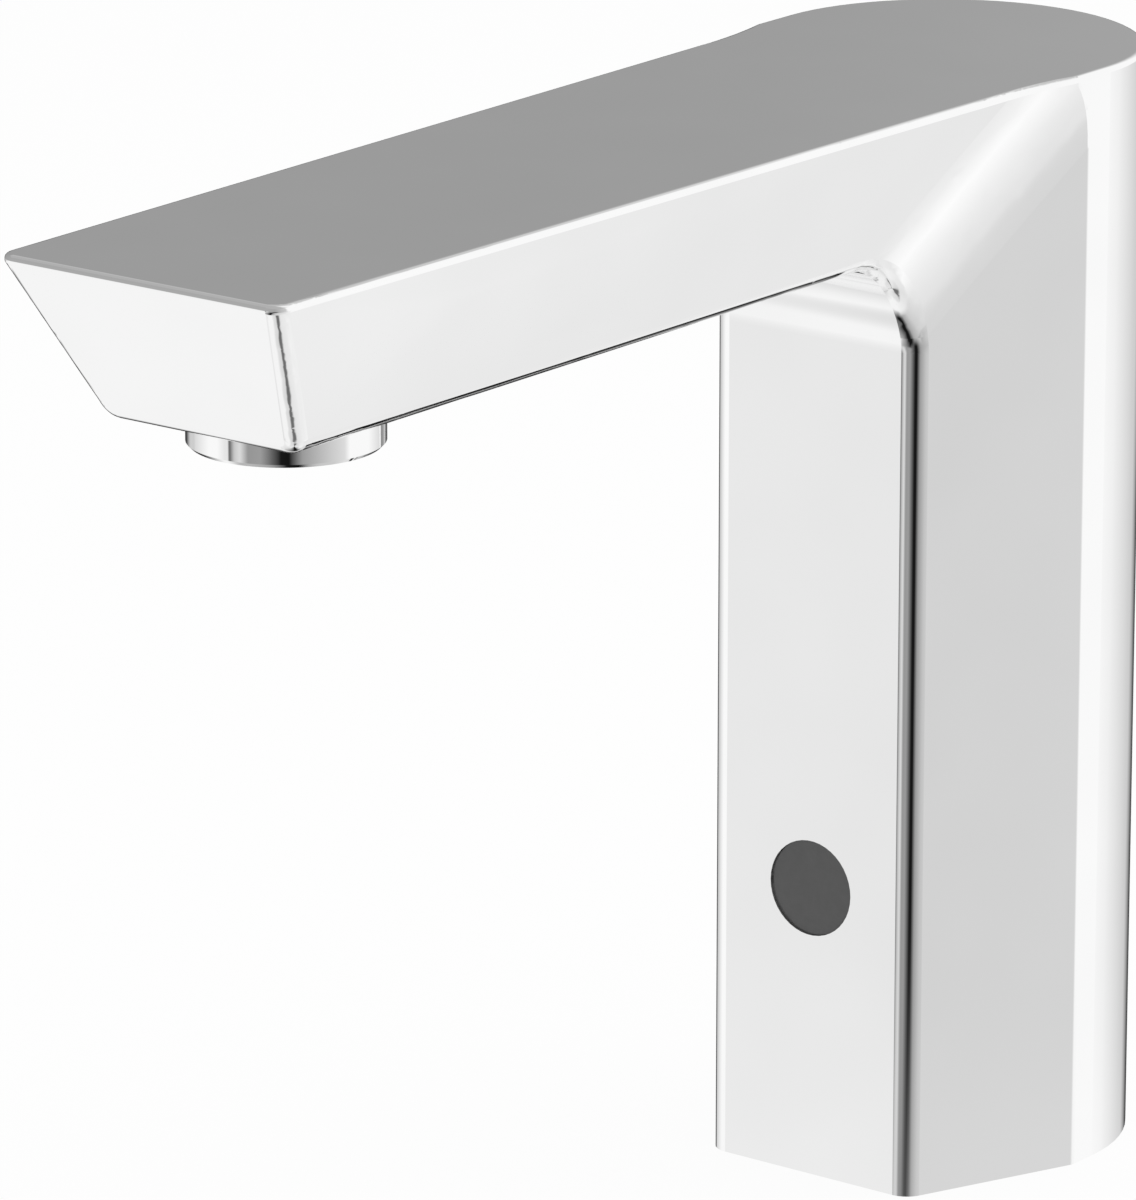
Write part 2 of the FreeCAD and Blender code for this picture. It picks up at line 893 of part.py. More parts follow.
# ---------------------------------------------------------------- valve_block and its screws
# Moulded block: inlet column, round diaphragm chamber behind it, and the outlet riser beside.
BLOCK_SIZES = {
    "block_wall": 1.95,
    "plenum": 2.3,
    "chamber_x": 7,
    "chamber_y": 8,
    "diaphragm_radius": 11,
    "diaphragm_rim": 2,
    "block_rim": 3,
    "feed_radius": 2.4,
    "seat_bore": 3.5,
    "seat_wall": 1.6,
    "stem_wall": 2,
    "seat_drop": 2.5,
    "ledge_depth": 2,
    "annulus_depth": 7,
    "duct_radius": 3,
    "duct_wall": 1.6,
    "duct_cover": 1.5,
    "riser_x": 12,
    "riser_y": 11,
    "riser_wall": 2.4,
    "tube_radius": 4,
    "tube_gap": 0.05,
    "tube_wall": 1,
    "socket_length": 9,
    "ear_radius": 4,
    "ear_height": 4,
    "ring_section": 0.9,
    "ring_floor": 2,
    "ear_head_gap": 0.2,
    "lug_radius": 3.2,
    "lug_height": 3,
    "lug_depth": 8,
    "bonnet_screw_depth": 6,
    "head_gap": 0.1,
}
write_sizes(BLOCK_SIZES)
CHAMBER_X = "(-chamber_x)"
CHAMBER_AT = (CHAMBER_X, "chamber_y")
RISER_AT = ("riser_x", "riser_y")
CAVITY_TOP = "(%s + plenum)" % CARTRIDGE_HIGH
DUCT_LEVEL = "(%s + duct_cover + duct_radius)" % CAVITY_TOP
ANNULUS_FLOOR = "(%s + duct_radius + duct_wall)" % DUCT_LEVEL
BLOCK_TOP = "(%s + annulus_depth)" % ANNULUS_FLOOR
LEDGE = "(%s - ledge_depth)" % BLOCK_TOP
SEAT_LIP = "(%s - seat_drop)" % BLOCK_TOP
SOCKET_FLOOR = "(%s - socket_length)" % BLOCK_TOP

LUG_REACH = "(diaphragm_radius + block_rim + pan_head_radius + head_gap)"
LUGS = [
    (
        "-chamber_x + %s * %.5f" % (LUG_REACH, math.cos(math.radians(turn))),
        "chamber_y + %s * %.5f" % (LUG_REACH, math.sin(math.radians(turn))),
    )
    for turn in (-20, 45, 215, 290)
]
def level_bar(name, radius, start, end, level):
    """A level round bar between two points of the plan."""
    body = document.addObject("PartDesign::Body", name)
    run = "sqrt((%s - (%s)) ^ 2 + (%s - (%s)) ^ 2)" % (end[0], start[0], end[1], start[1])
    sketch = body.newObject("Sketcher::SketchObject", name + "_outline")
    sketch.AttachmentSupport = [(origin_plane(body, "YZ_Plane"), "")]
    sketch.MapMode = "FlatFace"
    sketch.addGeometry(Part.Circle(Vector(), Vector(0, 0, 1), value(radius)))
    sketch.addConstraint(Sketcher.Constraint("Coincident", 0, 3, -1, 1))
    number = sketch.addConstraint(Sketcher.Constraint("Radius", 0, value(radius)))
    bind(sketch, "Constraints[%d]" % number, radius)
    feature = body.newObject("PartDesign::Pad", name + "_pad")
    feature.Profile = sketch
    bind(feature, "Length", run)
    turn = math.degrees(math.atan2(value(end[1]) - value(start[1]), value(end[0]) - value(start[0])))
    place(body, start[0], start[1], level, (Vector(0, 0, 1), turn))
    return body


block_solids = [
    cylinder("inlet_column", "cartridge_radius + block_wall", "plate_thickness", BLOCK_TOP, INLET_X),
    cylinder(
        "chamber_drum",
        "diaphragm_radius + block_rim",
        ANNULUS_FLOOR + " - duct_wall",
        BLOCK_TOP,
        CHAMBER_X,
        "chamber_y",
    ),
    cylinder(
        "seat_stem",
        "seat_bore + stem_wall",
        DUCT_LEVEL + " - duct_radius - duct_wall",
        BLOCK_TOP + " - annulus_depth",
        CHAMBER_X,
        "chamber_y",
    ),
    cylinder(
        "riser_column",
        "tube_radius + riser_wall",
        DUCT_LEVEL + " - duct_radius - duct_wall",
        BLOCK_TOP,
        *RISER_AT,
    ),
]
for number, (x, y) in enumerate(EARS, 1):
    block_solids.append(
        cylinder("ear_%d" % number, "ear_radius", "plate_thickness", "plate_thickness + ear_height", x, y)
    )
for number, (x, y) in enumerate(LUGS, 1):
    block_solids.append(
        cylinder(
            "block_lug_%d" % number,
            "lug_radius",
            BLOCK_TOP + " - lug_depth",
            BLOCK_TOP,
            x,
            y,
        )
    )
block_solids.append(level_bar("duct_bar", "duct_radius + duct_wall", CHAMBER_AT, RISER_AT, DUCT_LEVEL))
block_cuts = [
    cylinder(
        "cartridge_bore",
        "cartridge_radius + cartridge_gap",
        "plate_thickness - overcut",
        CAVITY_TOP,
        INLET_X,
    ),
    cylinder("feed_bore", "feed_radius", CAVITY_TOP + " - overcut", ANNULUS_FLOOR + " + overcut", INLET_X),
    cut(
        "annulus",
        cylinder(
            "annulus_outer",
            "diaphragm_radius",
            ANNULUS_FLOOR,
            BLOCK_TOP + " + overcut",
            CHAMBER_X,
            "chamber_y",
        ),
        cylinder("annulus_inner", "seat_bore + seat_wall", ANNULUS_FLOOR, SEAT_LIP, CHAMBER_X, "chamber_y"),
    ),
    cylinder(
        "bead_seat",
        "diaphragm_radius + diaphragm_rim",
        LEDGE,
        BLOCK_TOP + " + overcut",
        CHAMBER_X,
        "chamber_y",
    ),
    cylinder("seat_bore_cut", "seat_bore", DUCT_LEVEL, SEAT_LIP + " + overcut", CHAMBER_X, "chamber_y"),
    level_bar("duct_bore", "duct_radius", CHAMBER_AT, RISER_AT, DUCT_LEVEL),
    cylinder("riser_bore", "tube_radius - tube_wall", DUCT_LEVEL, SOCKET_FLOOR + " + overcut", *RISER_AT),
    cylinder("riser_socket", "tube_radius + tube_gap", SOCKET_FLOOR, BLOCK_TOP + " + overcut", *RISER_AT),
    ring(
        "riser_ring_groove",
        "tube_radius + 2 * ring_section + tube_gap",
        "tube_radius",
        SOCKET_FLOOR + " + ring_floor",
        SOCKET_FLOOR + " + ring_floor + 2 * ring_section + tube_gap",
        "riser_x",
        "riser_y",
    ),
]
for number, (x, y) in enumerate(EARS, 1):
    block_cuts.append(
        cylinder(
            "ear_hole_%d" % number,
            "screw_hole_radius",
            "plate_thickness - overcut",
            "plate_thickness + ear_height + overcut",
            x,
            y,
        )
    )
    block_cuts.append(
        cylinder(
            "ear_head_room_%d" % number,
            "pan_head_radius + ear_head_gap",
            "plate_thickness + ear_height",
            "plate_thickness + ear_height + pan_head_height + overcut",
            x,
            y,
        )
    )
for number, (x, y) in enumerate(LUGS, 1):
    block_cuts.append(
        cylinder(
            "lug_thread_%d" % number,
            "screw_radius + thread_gap",
            BLOCK_TOP + " - bonnet_screw_depth",
            BLOCK_TOP + " + overcut",
            x,
            y,
        )
    )
node(cut("valve_block_form", fuse("block_blank", *block_solids), *block_cuts), "valve_block")
EAR_TOP = "(plate_thickness + ear_height)"
node(
    group(
        "block_screw_set",
        [
            pan_screw("block_screw_%d" % n, EAR_TOP, "ear_height + ear_screw_depth - thread_end_gap", x, y)
            for n, (x, y) in enumerate(EARS, 1)
        ],
    ),
    "valve_block_screws",
)

# ---------------------------------------------------------------- diaphragm, its disc, and the bonnet
# The rubber diaphragm is clamped at its rim. The stiff disc in its middle closes the seat and
# lifts when the plunger uncovers the small pilot hole through it.
DIAPHRAGM_SIZES = {
    "disc_radius": 6.4,
    "disc_gap": 0.1,
    "pad_thickness": 1.2,
    "disc_thickness": 2.2,
    "pilot_radius": 0.5,
    "diaphragm_thickness": 0.8,
    "web_rise": 0.5,
    "bead_gap": 0.05,
    "running_gap": 0.04,
    "bonnet_height": 8,
    "bonnet_chamber": 4,
    "bonnet_chamfer": 2,
    "bonnet_step": 0.4,
    "flange_width": 4,
    "flange_thickness": 1,
    "flange_gap": 0.05,
    "plunger_radius": 4,
    "plunger_length": 20,
    "plunger_gap": 0.08,
    "nose_length": 1.2,
    "nose_radius": 1.8,
    "tube_metal": 0.5,
    "core_gap": 0.3,
    "plunger_travel": 2.5,
    "core_length": 6,
    "core_stem_radius": 2.5,
    "core_stem_length": 3.4,
}
write_sizes(DIAPHRAGM_SIZES)
DIAPHRAGM_LOW = "(%s + web_rise)" % LEDGE
node(
    turned(
        "diaphragm_form",
        [
            ("disc_radius + disc_gap", DIAPHRAGM_LOW),
            ("diaphragm_radius", DIAPHRAGM_LOW),
            ("diaphragm_radius", LEDGE),
            ("diaphragm_radius + diaphragm_rim - bead_gap", LEDGE),
            ("diaphragm_radius + diaphragm_rim - bead_gap", BLOCK_TOP),
            ("diaphragm_radius", BLOCK_TOP),
            ("diaphragm_radius", DIAPHRAGM_LOW + " + diaphragm_thickness"),
            ("disc_radius + disc_gap", DIAPHRAGM_LOW + " + diaphragm_thickness"),
        ],
        CHAMBER_X,
        "chamber_y",
    ),
    "diaphragm",
)
PAD_LOW = "(%s + running_gap)" % SEAT_LIP
DISC_LOW = "(%s + pad_thickness)" % PAD_LOW
DISC_HIGH = "(%s + disc_thickness)" % DISC_LOW
node(
    ring("seat_pad_form", "disc_radius", "pilot_radius", PAD_LOW, DISC_LOW, CHAMBER_X, "chamber_y"),
    "diaphragm_pad",
)
node(
    ring("disc_form", "disc_radius", "pilot_radius", DISC_LOW, DISC_HIGH, CHAMBER_X, "chamber_y"),
    "diaphragm_disc",
)
BONNET_ROOF = "(%s + bonnet_chamber)" % BLOCK_TOP
BONNET_TOP = "(%s + bonnet_height)" % BLOCK_TOP
TUBE_BORE = "(plunger_radius + plunger_gap)"
TUBE_OUTER = "(plunger_radius + plunger_gap + tube_metal)"
FLANGE_RADIUS = "(plunger_radius + flange_width)"
FLANGE_TOP = "(%s + flange_thickness)" % BONNET_ROOF
bonnet_drum = turned(
    "bonnet_drum",
    [
        ("diaphragm_radius - bonnet_step", BLOCK_TOP),
        ("diaphragm_radius + block_rim", BLOCK_TOP),
        ("diaphragm_radius + block_rim", BONNET_TOP + " - bonnet_chamfer"),
        ("diaphragm_radius + block_rim - bonnet_chamfer", BONNET_TOP),
        (TUBE_OUTER + " + flange_gap", BONNET_TOP),
        (TUBE_OUTER + " + flange_gap", FLANGE_TOP),
        (FLANGE_RADIUS + " + flange_gap", FLANGE_TOP),
        (FLANGE_RADIUS + " + flange_gap", BONNET_ROOF),
        ("diaphragm_radius - bonnet_step", BONNET_ROOF),
    ],
    CHAMBER_X,
    "chamber_y",
)
bonnet_lugs = []
bonnet_holes = [
    cylinder("bonnet_inside", "diaphragm_radius", BLOCK_TOP, BLOCK_TOP + " + lug_height", *CHAMBER_AT)
]
for number, (x, y) in enumerate(LUGS, 1):
    bonnet_lugs.append(
        cylinder("bonnet_lug_%d" % number, "lug_radius", BLOCK_TOP, BLOCK_TOP + " + lug_height", x, y)
    )
    bonnet_holes.append(
        cylinder(
            "bonnet_hole_%d" % number,
            "screw_hole_radius",
            BLOCK_TOP + " - overcut",
            BLOCK_TOP + " + lug_height + overcut",
            x,
            y,
        )
    )
node(
    fuse(
        "bonnet_form",
        bonnet_drum,
        cut("bonnet_lug_ring", fuse("bonnet_lugs", *bonnet_lugs), *bonnet_holes),
    ),
    "valve_bonnet",
)
BONNET_SCREW_GRIP = "lug_height + bonnet_screw_depth - thread_end_gap"
node(
    group(
        "bonnet_screw_set",
        [
            pan_screw("bonnet_screw_%d" % n, BLOCK_TOP + " + lug_height", BONNET_SCREW_GRIP, x, y)
            for n, (x, y) in enumerate(LUGS, 1)
        ],
    ),
    "bonnet_screws",
)
NOSE_LOW = "(%s + running_gap)" % DISC_HIGH
PLUNGER_LOW = "(%s + nose_length)" % NOSE_LOW
PLUNGER_HIGH = "(%s + plunger_length)" % PLUNGER_LOW
CORE_LOW = "(%s + plunger_travel + core_gap)" % PLUNGER_HIGH
CORE_HIGH = "(%s + core_length)" % CORE_LOW
node(
    turned(
        "armature_tube_form",
        [
            (TUBE_BORE, BONNET_ROOF),
            (FLANGE_RADIUS, BONNET_ROOF),
            (FLANGE_RADIUS, FLANGE_TOP),
            (TUBE_OUTER, FLANGE_TOP),
            (TUBE_OUTER, CORE_HIGH),
            (TUBE_BORE, CORE_HIGH),
        ],
        CHAMBER_X,
        "chamber_y",
    ),
    "armature_tube",
)
PLUNGER_SIZES = {
    "spring_pocket_radius": 2.6,
    "spring_pocket_depth": 8,
    "plunger_spring_radius": 1.9,
    "nose_depth": 2,
    "nose_gap": 0.03,
    "nose_tip_radius": 1.26,
    "nose_tip_height": 0.6,
}
write_sizes(PLUNGER_SIZES)
POCKET_FLOOR = "(%s - spring_pocket_depth)" % PLUNGER_HIGH
node(
    turned(
        "plunger_form",
        [
            ("nose_radius + nose_gap", PLUNGER_LOW),
            ("plunger_radius", PLUNGER_LOW),
            ("plunger_radius", PLUNGER_HIGH),
            ("spring_pocket_radius", PLUNGER_HIGH),
            ("spring_pocket_radius", POCKET_FLOOR),
            ("0", POCKET_FLOOR),
            ("0", PLUNGER_LOW + " + nose_depth"),
            ("nose_radius + nose_gap", PLUNGER_LOW + " + nose_depth"),
        ],
        CHAMBER_X,
        "chamber_y",
    ),
    "plunger",
)
node(
    turned(
        "nose_form",
        [
            ("0", NOSE_LOW),
            ("nose_tip_radius", NOSE_LOW),
            ("nose_radius", NOSE_LOW + " + nose_tip_height"),
            ("nose_radius", PLUNGER_LOW + " + nose_depth"),
            ("0", PLUNGER_LOW + " + nose_depth"),
        ],
        CHAMBER_X,
        "chamber_y",
    ),
    "plunger_nose",
)
node(
    spring(
        "plunger_spring_form",
        7,
        "plunger_spring_radius",
        POCKET_FLOOR + " + spring_end_gap",
        CORE_LOW + " - spring_end_gap",
        CHAMBER_X,
        "chamber_y",
    ),
    "plunger_spring",
)
node(
    turned(
        "fixed_core_form",
        [
            ("0", CORE_LOW),
            (TUBE_BORE, CORE_LOW),
            (TUBE_BORE, CORE_HIGH),
            ("core_stem_radius", CORE_HIGH),
            ("core_stem_radius", CORE_HIGH + " + core_stem_length"),
            ("0", CORE_HIGH + " + core_stem_length"),
        ],
        CHAMBER_X,
        "chamber_y",
    ),
    "fixed_core",
)

# ---------------------------------------------------------------- solenoid: bobbin, winding, yoke, nut
SOLENOID_SIZES = {
    "bobbin_radius": 9.8,
    "bobbin_flange": 1.2,
    "bobbin_tube": 0.8,
    "bobbin_gap": 0.08,
    "winding_inset": 0.5,
    "yoke_width": 22,
    "yoke_depth": 14,
    "yoke_metal": 1,
    "core_nut_radius": 4.5,
    "core_nut_height": 2.4,
}
write_sizes(SOLENOID_SIZES)
YOKE_LOW = BONNET_TOP
YOKE_HIGH = CORE_HIGH
BOBBIN_LOW = "(%s + yoke_metal)" % YOKE_LOW
BOBBIN_HIGH = "(%s - yoke_metal)" % YOKE_HIGH
BOBBIN_BORE = "(%s + bobbin_gap)" % TUBE_OUTER
node(
    turned(
        "bobbin_form",
        [
            (BOBBIN_BORE, BOBBIN_LOW),
            ("bobbin_radius", BOBBIN_LOW),
            ("bobbin_radius", BOBBIN_LOW + " + bobbin_flange"),
            (BOBBIN_BORE + " + bobbin_tube", BOBBIN_LOW + " + bobbin_flange"),
            (BOBBIN_BORE + " + bobbin_tube", BOBBIN_HIGH + " - bobbin_flange"),
            ("bobbin_radius", BOBBIN_HIGH + " - bobbin_flange"),
            ("bobbin_radius", BOBBIN_HIGH),
            (BOBBIN_BORE, BOBBIN_HIGH),
        ],
        CHAMBER_X,
        "chamber_y",
    ),
    "coil_bobbin",
)
node(
    ring(
        "winding_form",
        "bobbin_radius - winding_inset",
        BOBBIN_BORE + " + bobbin_tube",
        BOBBIN_LOW + " + bobbin_flange",
        BOBBIN_HIGH + " - bobbin_flange",
        CHAMBER_X,
        "chamber_y",
    ),
    "coil_winding",
)
HALF_YOKE = "(yoke_width / 2)"
yoke_blank = box(
    "yoke_blank",
    ("-chamber_x - " + HALF_YOKE, "-chamber_x + " + HALF_YOKE),
    ("chamber_y - yoke_depth / 2", "chamber_y + yoke_depth / 2"),
    (YOKE_LOW, YOKE_HIGH),
)
yoke_window = box(
    "yoke_window",
    ("-chamber_x - %s + yoke_metal" % HALF_YOKE, "-chamber_x + %s - yoke_metal" % HALF_YOKE),
    ("chamber_y - yoke_depth", "chamber_y + yoke_depth"),
    (BOBBIN_LOW, BOBBIN_HIGH),
)
yoke_bore = cylinder(
    "yoke_bore", BOBBIN_BORE, YOKE_LOW + " - overcut", YOKE_HIGH + " + overcut", CHAMBER_X, "chamber_y"
)
node(cut("yoke_form", yoke_blank, yoke_window, yoke_bore), "coil_yoke")
core_nut_blank = document.addObject("Part::Prism", "core_nut_blank")
bind(core_nut_blank, "Circumradius", "core_nut_radius")
bind(core_nut_blank, "Height", "core_nut_height")
place(core_nut_blank, CHAMBER_X, "chamber_y", CORE_HIGH)
core_nut_bore = cylinder(
    "core_nut_bore",
    "core_stem_radius + thread_gap",
    CORE_HIGH + " - overcut",
    CORE_HIGH + " + core_nut_height + overcut",
    CHAMBER_X,
    "chamber_y",
)
node(cut("core_nut_form", core_nut_blank, core_nut_bore), "coil_nut")

# ---------------------------------------------------------------- water tube, its rings and the spigot
# A bent plastic tube carries the water up the column and along the spout to a brass spigot,
# which plugs into the back of the outlet chamber.
WATER_TUBE_SIZES = {
    "tube_bend": 15,
    "tube_sway": 80,
    "sway_start": 45,
    "sway_end": 100,
    "spigot_radius": 5.1,
    "spigot_inset": 0.6,
    "shoulder_gap": 0.05,
    "spigot_ring_setback": 1.6,
    "ring_pinch": 0.02,
    "spigot_collar": 6.5,
    "spigot_length": 13,
    "spigot_depth": 9,
}
write_sizes(WATER_TUBE_SIZES)


def tube_path(points, radii):
    """Straight runs through the points, joined by tangent arcs of the given radii."""
    edges = []
    start = points[0]
    for number, radius in enumerate(radii, 1):
        corner = points[number]
        back = (points[number - 1] - corner).normalize()
        ahead = (points[number + 1] - corner).normalize()
        turn = math.pi - back.getAngle(ahead)
        leg = radius * math.tan(turn / 2)
        inward = (back + ahead).normalize()
        first = corner + back * leg
        last = corner + ahead * leg
        middle = corner + inward * (radius / math.cos(turn / 2) - radius)
        edges.append(Part.LineSegment(start, first).toShape())
        edges.append(Part.Arc(first, middle, last).toShape())
        start = last
    edges.append(Part.LineSegment(start, points[-1]).toShape())
    return Part.Wire(edges)


def swept(name, points, radii, radius, bore=0):
    """A round bar or tube along a path."""
    path = tube_path(points, radii)
    way = (points[1] - points[0]).normalize()
    solids = []
    for size in (radius, bore):
        if size:
            section = Part.Wire(Part.Circle(points[0], way, size).toShape())
            solids.append(path.makePipeShell([section], True, False))
    shape = solids[0].cut(solids[1]) if bore else solids[0]
    expected = math.pi * (radius**2 - bore**2) * path.Length
    print(name, "volume", round(shape.Volume, 1), "expected", round(expected, 1))
    item = document.addObject("Part::Feature", name)
    item.Shape = shape
    item.Placement = FreeCAD.Placement(Vector(), FreeCAD.Rotation())
    return item


BOSS_BACK = "(%s + collar_thread_radius + boss_wall)" % OUTLET_Y
SPIGOT_FRONT = "(%s + chamber_radius + spigot_inset)" % OUTLET_Y
SPIGOT_SHOULDER = "(%s + shoulder_gap)" % BOSS_BACK
SPIGOT_BACK = "(%s + spigot_length)" % SPIGOT_SHOULDER
TUBE_END = "(%s - spigot_depth)" % SPIGOT_BACK
tube_points = [
    Vector(value("riser_x"), value("riser_y"), value(SOCKET_FLOOR)),
    Vector(value("riser_x"), value("riser_y"), value(TUBE_LEVEL)),
    Vector(value("riser_x"), value("-sway_start"), value(TUBE_LEVEL)),
    Vector(0, value("-sway_end"), value(TUBE_LEVEL)),
    Vector(0, value(TUBE_END), value(TUBE_LEVEL)),
]
node(
    swept(
        "water_tube_form",
        tube_points,
        [value("tube_bend"), value("tube_sway"), value("tube_sway")],
        value("tube_radius"),
        value("tube_radius - tube_wall"),
    ),
    "water_tube",
)
spigot_blank = turned(
    "spigot_blank",
    [
        ("tube_radius - tube_wall", "-(%s)" % SPIGOT_BACK),
        ("spigot_collar", "-(%s)" % SPIGOT_BACK),
        ("spigot_collar", "-(%s)" % SPIGOT_SHOULDER),
        ("spigot_radius", "-(%s)" % SPIGOT_SHOULDER),
        ("spigot_radius", "-(%s)" % SPIGOT_FRONT),
        ("tube_radius - tube_wall", "-(%s)" % SPIGOT_FRONT),
    ],
    "0",
    "0",
    TUBE_LEVEL,
    FACING_FRONT,
)
spigot_socket = lying_cylinder(
    "spigot_socket", "tube_radius + tube_gap", TUBE_END, SPIGOT_BACK + " + overcut", "0", TUBE_LEVEL
)
RING_GROOVE = "(%s + spigot_ring_setback)" % SPIGOT_FRONT
spigot_groove = ring(
    "spigot_groove",
    "spigot_radius + overcut",
    "spigot_radius - ring_section",
    "-(%s + ring_section)" % RING_GROOVE,
    "-(%s - ring_section)" % RING_GROOVE,
    "0",
    "0",
    TUBE_LEVEL,
    FACING_FRONT,
)
node(cut("spigot_form", spigot_blank, spigot_socket, spigot_groove), "outlet_spigot")


def o_ring(name, centre_radius, section, x, y, z, turn=None):
    item = document.addObject("Part::Torus", name)
    bind(item, "Radius1", centre_radius)
    bind(item, "Radius2", section)
    place(item, x, y, z, turn)
    return item


riser_ring = o_ring(
    "riser_ring",
    "tube_radius + ring_section + tube_gap / 2",
    "ring_section",
    "riser_x",
    "riser_y",
    SOCKET_FLOOR + " + ring_floor + ring_section + tube_gap / 2",
)
spigot_ring = o_ring(
    "spigot_ring",
    "spigot_radius - ring_section / 2 + ring_pinch",
    "ring_section / 2",
    "0",
    RING_GROOVE,
    TUBE_LEVEL,
    FACING_FRONT,
)
node(group("tube_ring_set", [riser_ring, spigot_ring]), "tube_seals")

# ---------------------------------------------------------------- aerator: collar, washer, insert, screens
AERATOR_SIZES = {
    "collar_radius": 13,
    "collar_drop": 4.7,
    "collar_bore": 10.6,
    "collar_lip": 0.9,
    "collar_lip_height": 1,
    "collar_round": 0.5,
    "aerator_gap": 0.1,
    "insert_height": 8,
    "insert_wall": 1,
    "grid_thickness": 2.4,
    "screen_thickness": 0.5,
    "washer_thickness": 1.6,
    "thread_play": 0.05,
    "washer_gap": 0.2,
    "washer_edge": 0.1,
    "washer_step": 1,
    "cell_pitch": 2.3,
    "cell_radius": 1.1,
    "cell_margin": 1.2,
    "screen_pitch": 1.7,
    "screen_hole": 0.55,
    "screen_margin": 2.4,
    "flow_cone": 1.5,
    "flow_rim": 2,
    "jet_radius": 0.5,
    "jet_reach": 6.36,
}
write_sizes(AERATOR_SIZES)
JET_COUNT = 12
COLLAR_LOW = "(%s - collar_drop)" % COLLAR_SEAT
COLLAR_HIGH = "(%s - washer_thickness - washer_gap)" % CHAMBER_FLOOR
collar_blank = turned(
    "collar_blank",
    [
        ("collar_bore - collar_lip", COLLAR_LOW),
        ("collar_radius - collar_round", COLLAR_LOW),
        ("collar_radius", COLLAR_LOW + " + collar_round"),
        ("collar_radius", COLLAR_SEAT),
        ("collar_thread_radius - thread_play", COLLAR_SEAT),
        ("collar_thread_radius - thread_play", COLLAR_HIGH),
        ("collar_bore", COLLAR_HIGH),
        ("collar_bore", COLLAR_LOW + " + collar_lip_height"),
        ("collar_bore - collar_lip", COLLAR_LOW + " + collar_lip_height"),
    ],
    "0",
    OUTLET_Y,
)
node(collar_blank, "aerator_collar")
INSERT_LOW = "(%s + collar_lip_height)" % COLLAR_LOW
INSERT_HIGH = COLLAR_HIGH
grid = cylinder(
    "grid_disc",
    "collar_bore - aerator_gap - insert_wall + bead",
    INSERT_LOW,
    INSERT_LOW + " + grid_thickness",
    "0",
    OUTLET_Y,
)
grid_wall = ring(
    "grid_wall",
    "collar_bore - aerator_gap",
    "collar_bore - aerator_gap - insert_wall",
    INSERT_LOW,
    INSERT_HIGH,
    "0",
    OUTLET_Y,
)
CELL_STEPS = 4
cells = []
for column in range(-CELL_STEPS, CELL_STEPS + 1):
    for row in range(-CELL_STEPS, CELL_STEPS + 1):
        along = column + row / 2
        across = row * math.sqrt(3) / 2
        reach = math.hypot(along, across) * value("cell_pitch")
        if reach > value("collar_bore - cell_margin - cell_radius"):
            continue
        cell = document.addObject("Part::Prism", "cell")
        bind(cell, "Circumradius", "cell_radius")
        bind(cell, "Height", "grid_thickness + 2 * overcut")
        place(
            cell,
            "cell_pitch * %.5f" % along,
            "%s + cell_pitch * %.5f" % (OUTLET_Y, across),
            INSERT_LOW + " - overcut",
            (Vector(0, 0, 1), 30),
        )
        cells.append(cell)
node(cut("insert_form", fuse("insert_blank", grid, grid_wall), *cells), "aerator_insert")
SCREEN_LOW = "(%s + grid_thickness)" % INSERT_LOW
screen_blank = cylinder(
    "screen_blank",
    "collar_bore - 2 * aerator_gap - insert_wall",
    SCREEN_LOW,
    SCREEN_LOW + " + screen_thickness",
    "0",
    OUTLET_Y,
)
screen_holes = []
SCREEN_STEPS = 5
for column in range(-SCREEN_STEPS, SCREEN_STEPS + 1):
    for row in range(-SCREEN_STEPS, SCREEN_STEPS + 1):
        if math.hypot(column, row) * value("screen_pitch") > value("collar_bore - screen_margin"):
            continue
        screen_holes.append(
            box(
                "screen_hole",
                ("screen_pitch * %d - screen_hole" % column, "screen_pitch * %d + screen_hole" % column),
                (
                    "%s + screen_pitch * %d - screen_hole" % (OUTLET_Y, row),
                    "%s + screen_pitch * %d + screen_hole" % (OUTLET_Y, row),
                ),
                (SCREEN_LOW + " - overcut", SCREEN_LOW + " + screen_thickness + overcut"),
            )
        )
node(cut("screen_form", screen_blank, *screen_holes), "aerator_screen")
FLOW_DISC_LOW = "(%s + screen_thickness + flow_cone)" % SCREEN_LOW
flow_blank = turned(
    "flow_blank",
    [
        ("0", FLOW_DISC_LOW),
        ("collar_bore - 2 * aerator_gap - insert_wall", FLOW_DISC_LOW + " - flow_cone"),
        ("collar_bore - 2 * aerator_gap - insert_wall", FLOW_DISC_LOW + " + flow_rim"),
        ("0", FLOW_DISC_LOW + " + flow_rim"),
    ],
    "0",
    OUTLET_Y,
)
jets = []
for number in range(JET_COUNT):
    angle = 2 * math.pi * number / JET_COUNT
    jets.append(
        cylinder(
            "jet_%d" % number,
            "jet_radius",
            FLOW_DISC_LOW + " - flow_cone - overcut",
            FLOW_DISC_LOW + " + flow_rim + overcut",
            "jet_reach * %.5f" % math.cos(angle),
            "%s + jet_reach * %.5f" % (OUTLET_Y, math.sin(angle)),
        )
    )
node(cut("flow_form", flow_blank, *jets), "flow_disc")
node(
    ring(
        "washer_form",
        "collar_thread_radius - washer_edge",
        "chamber_radius - washer_step",
        COLLAR_HIGH,
        CHAMBER_FLOOR,
        "0",
        OUTLET_Y,
    ),
    "aerator_washer",
)

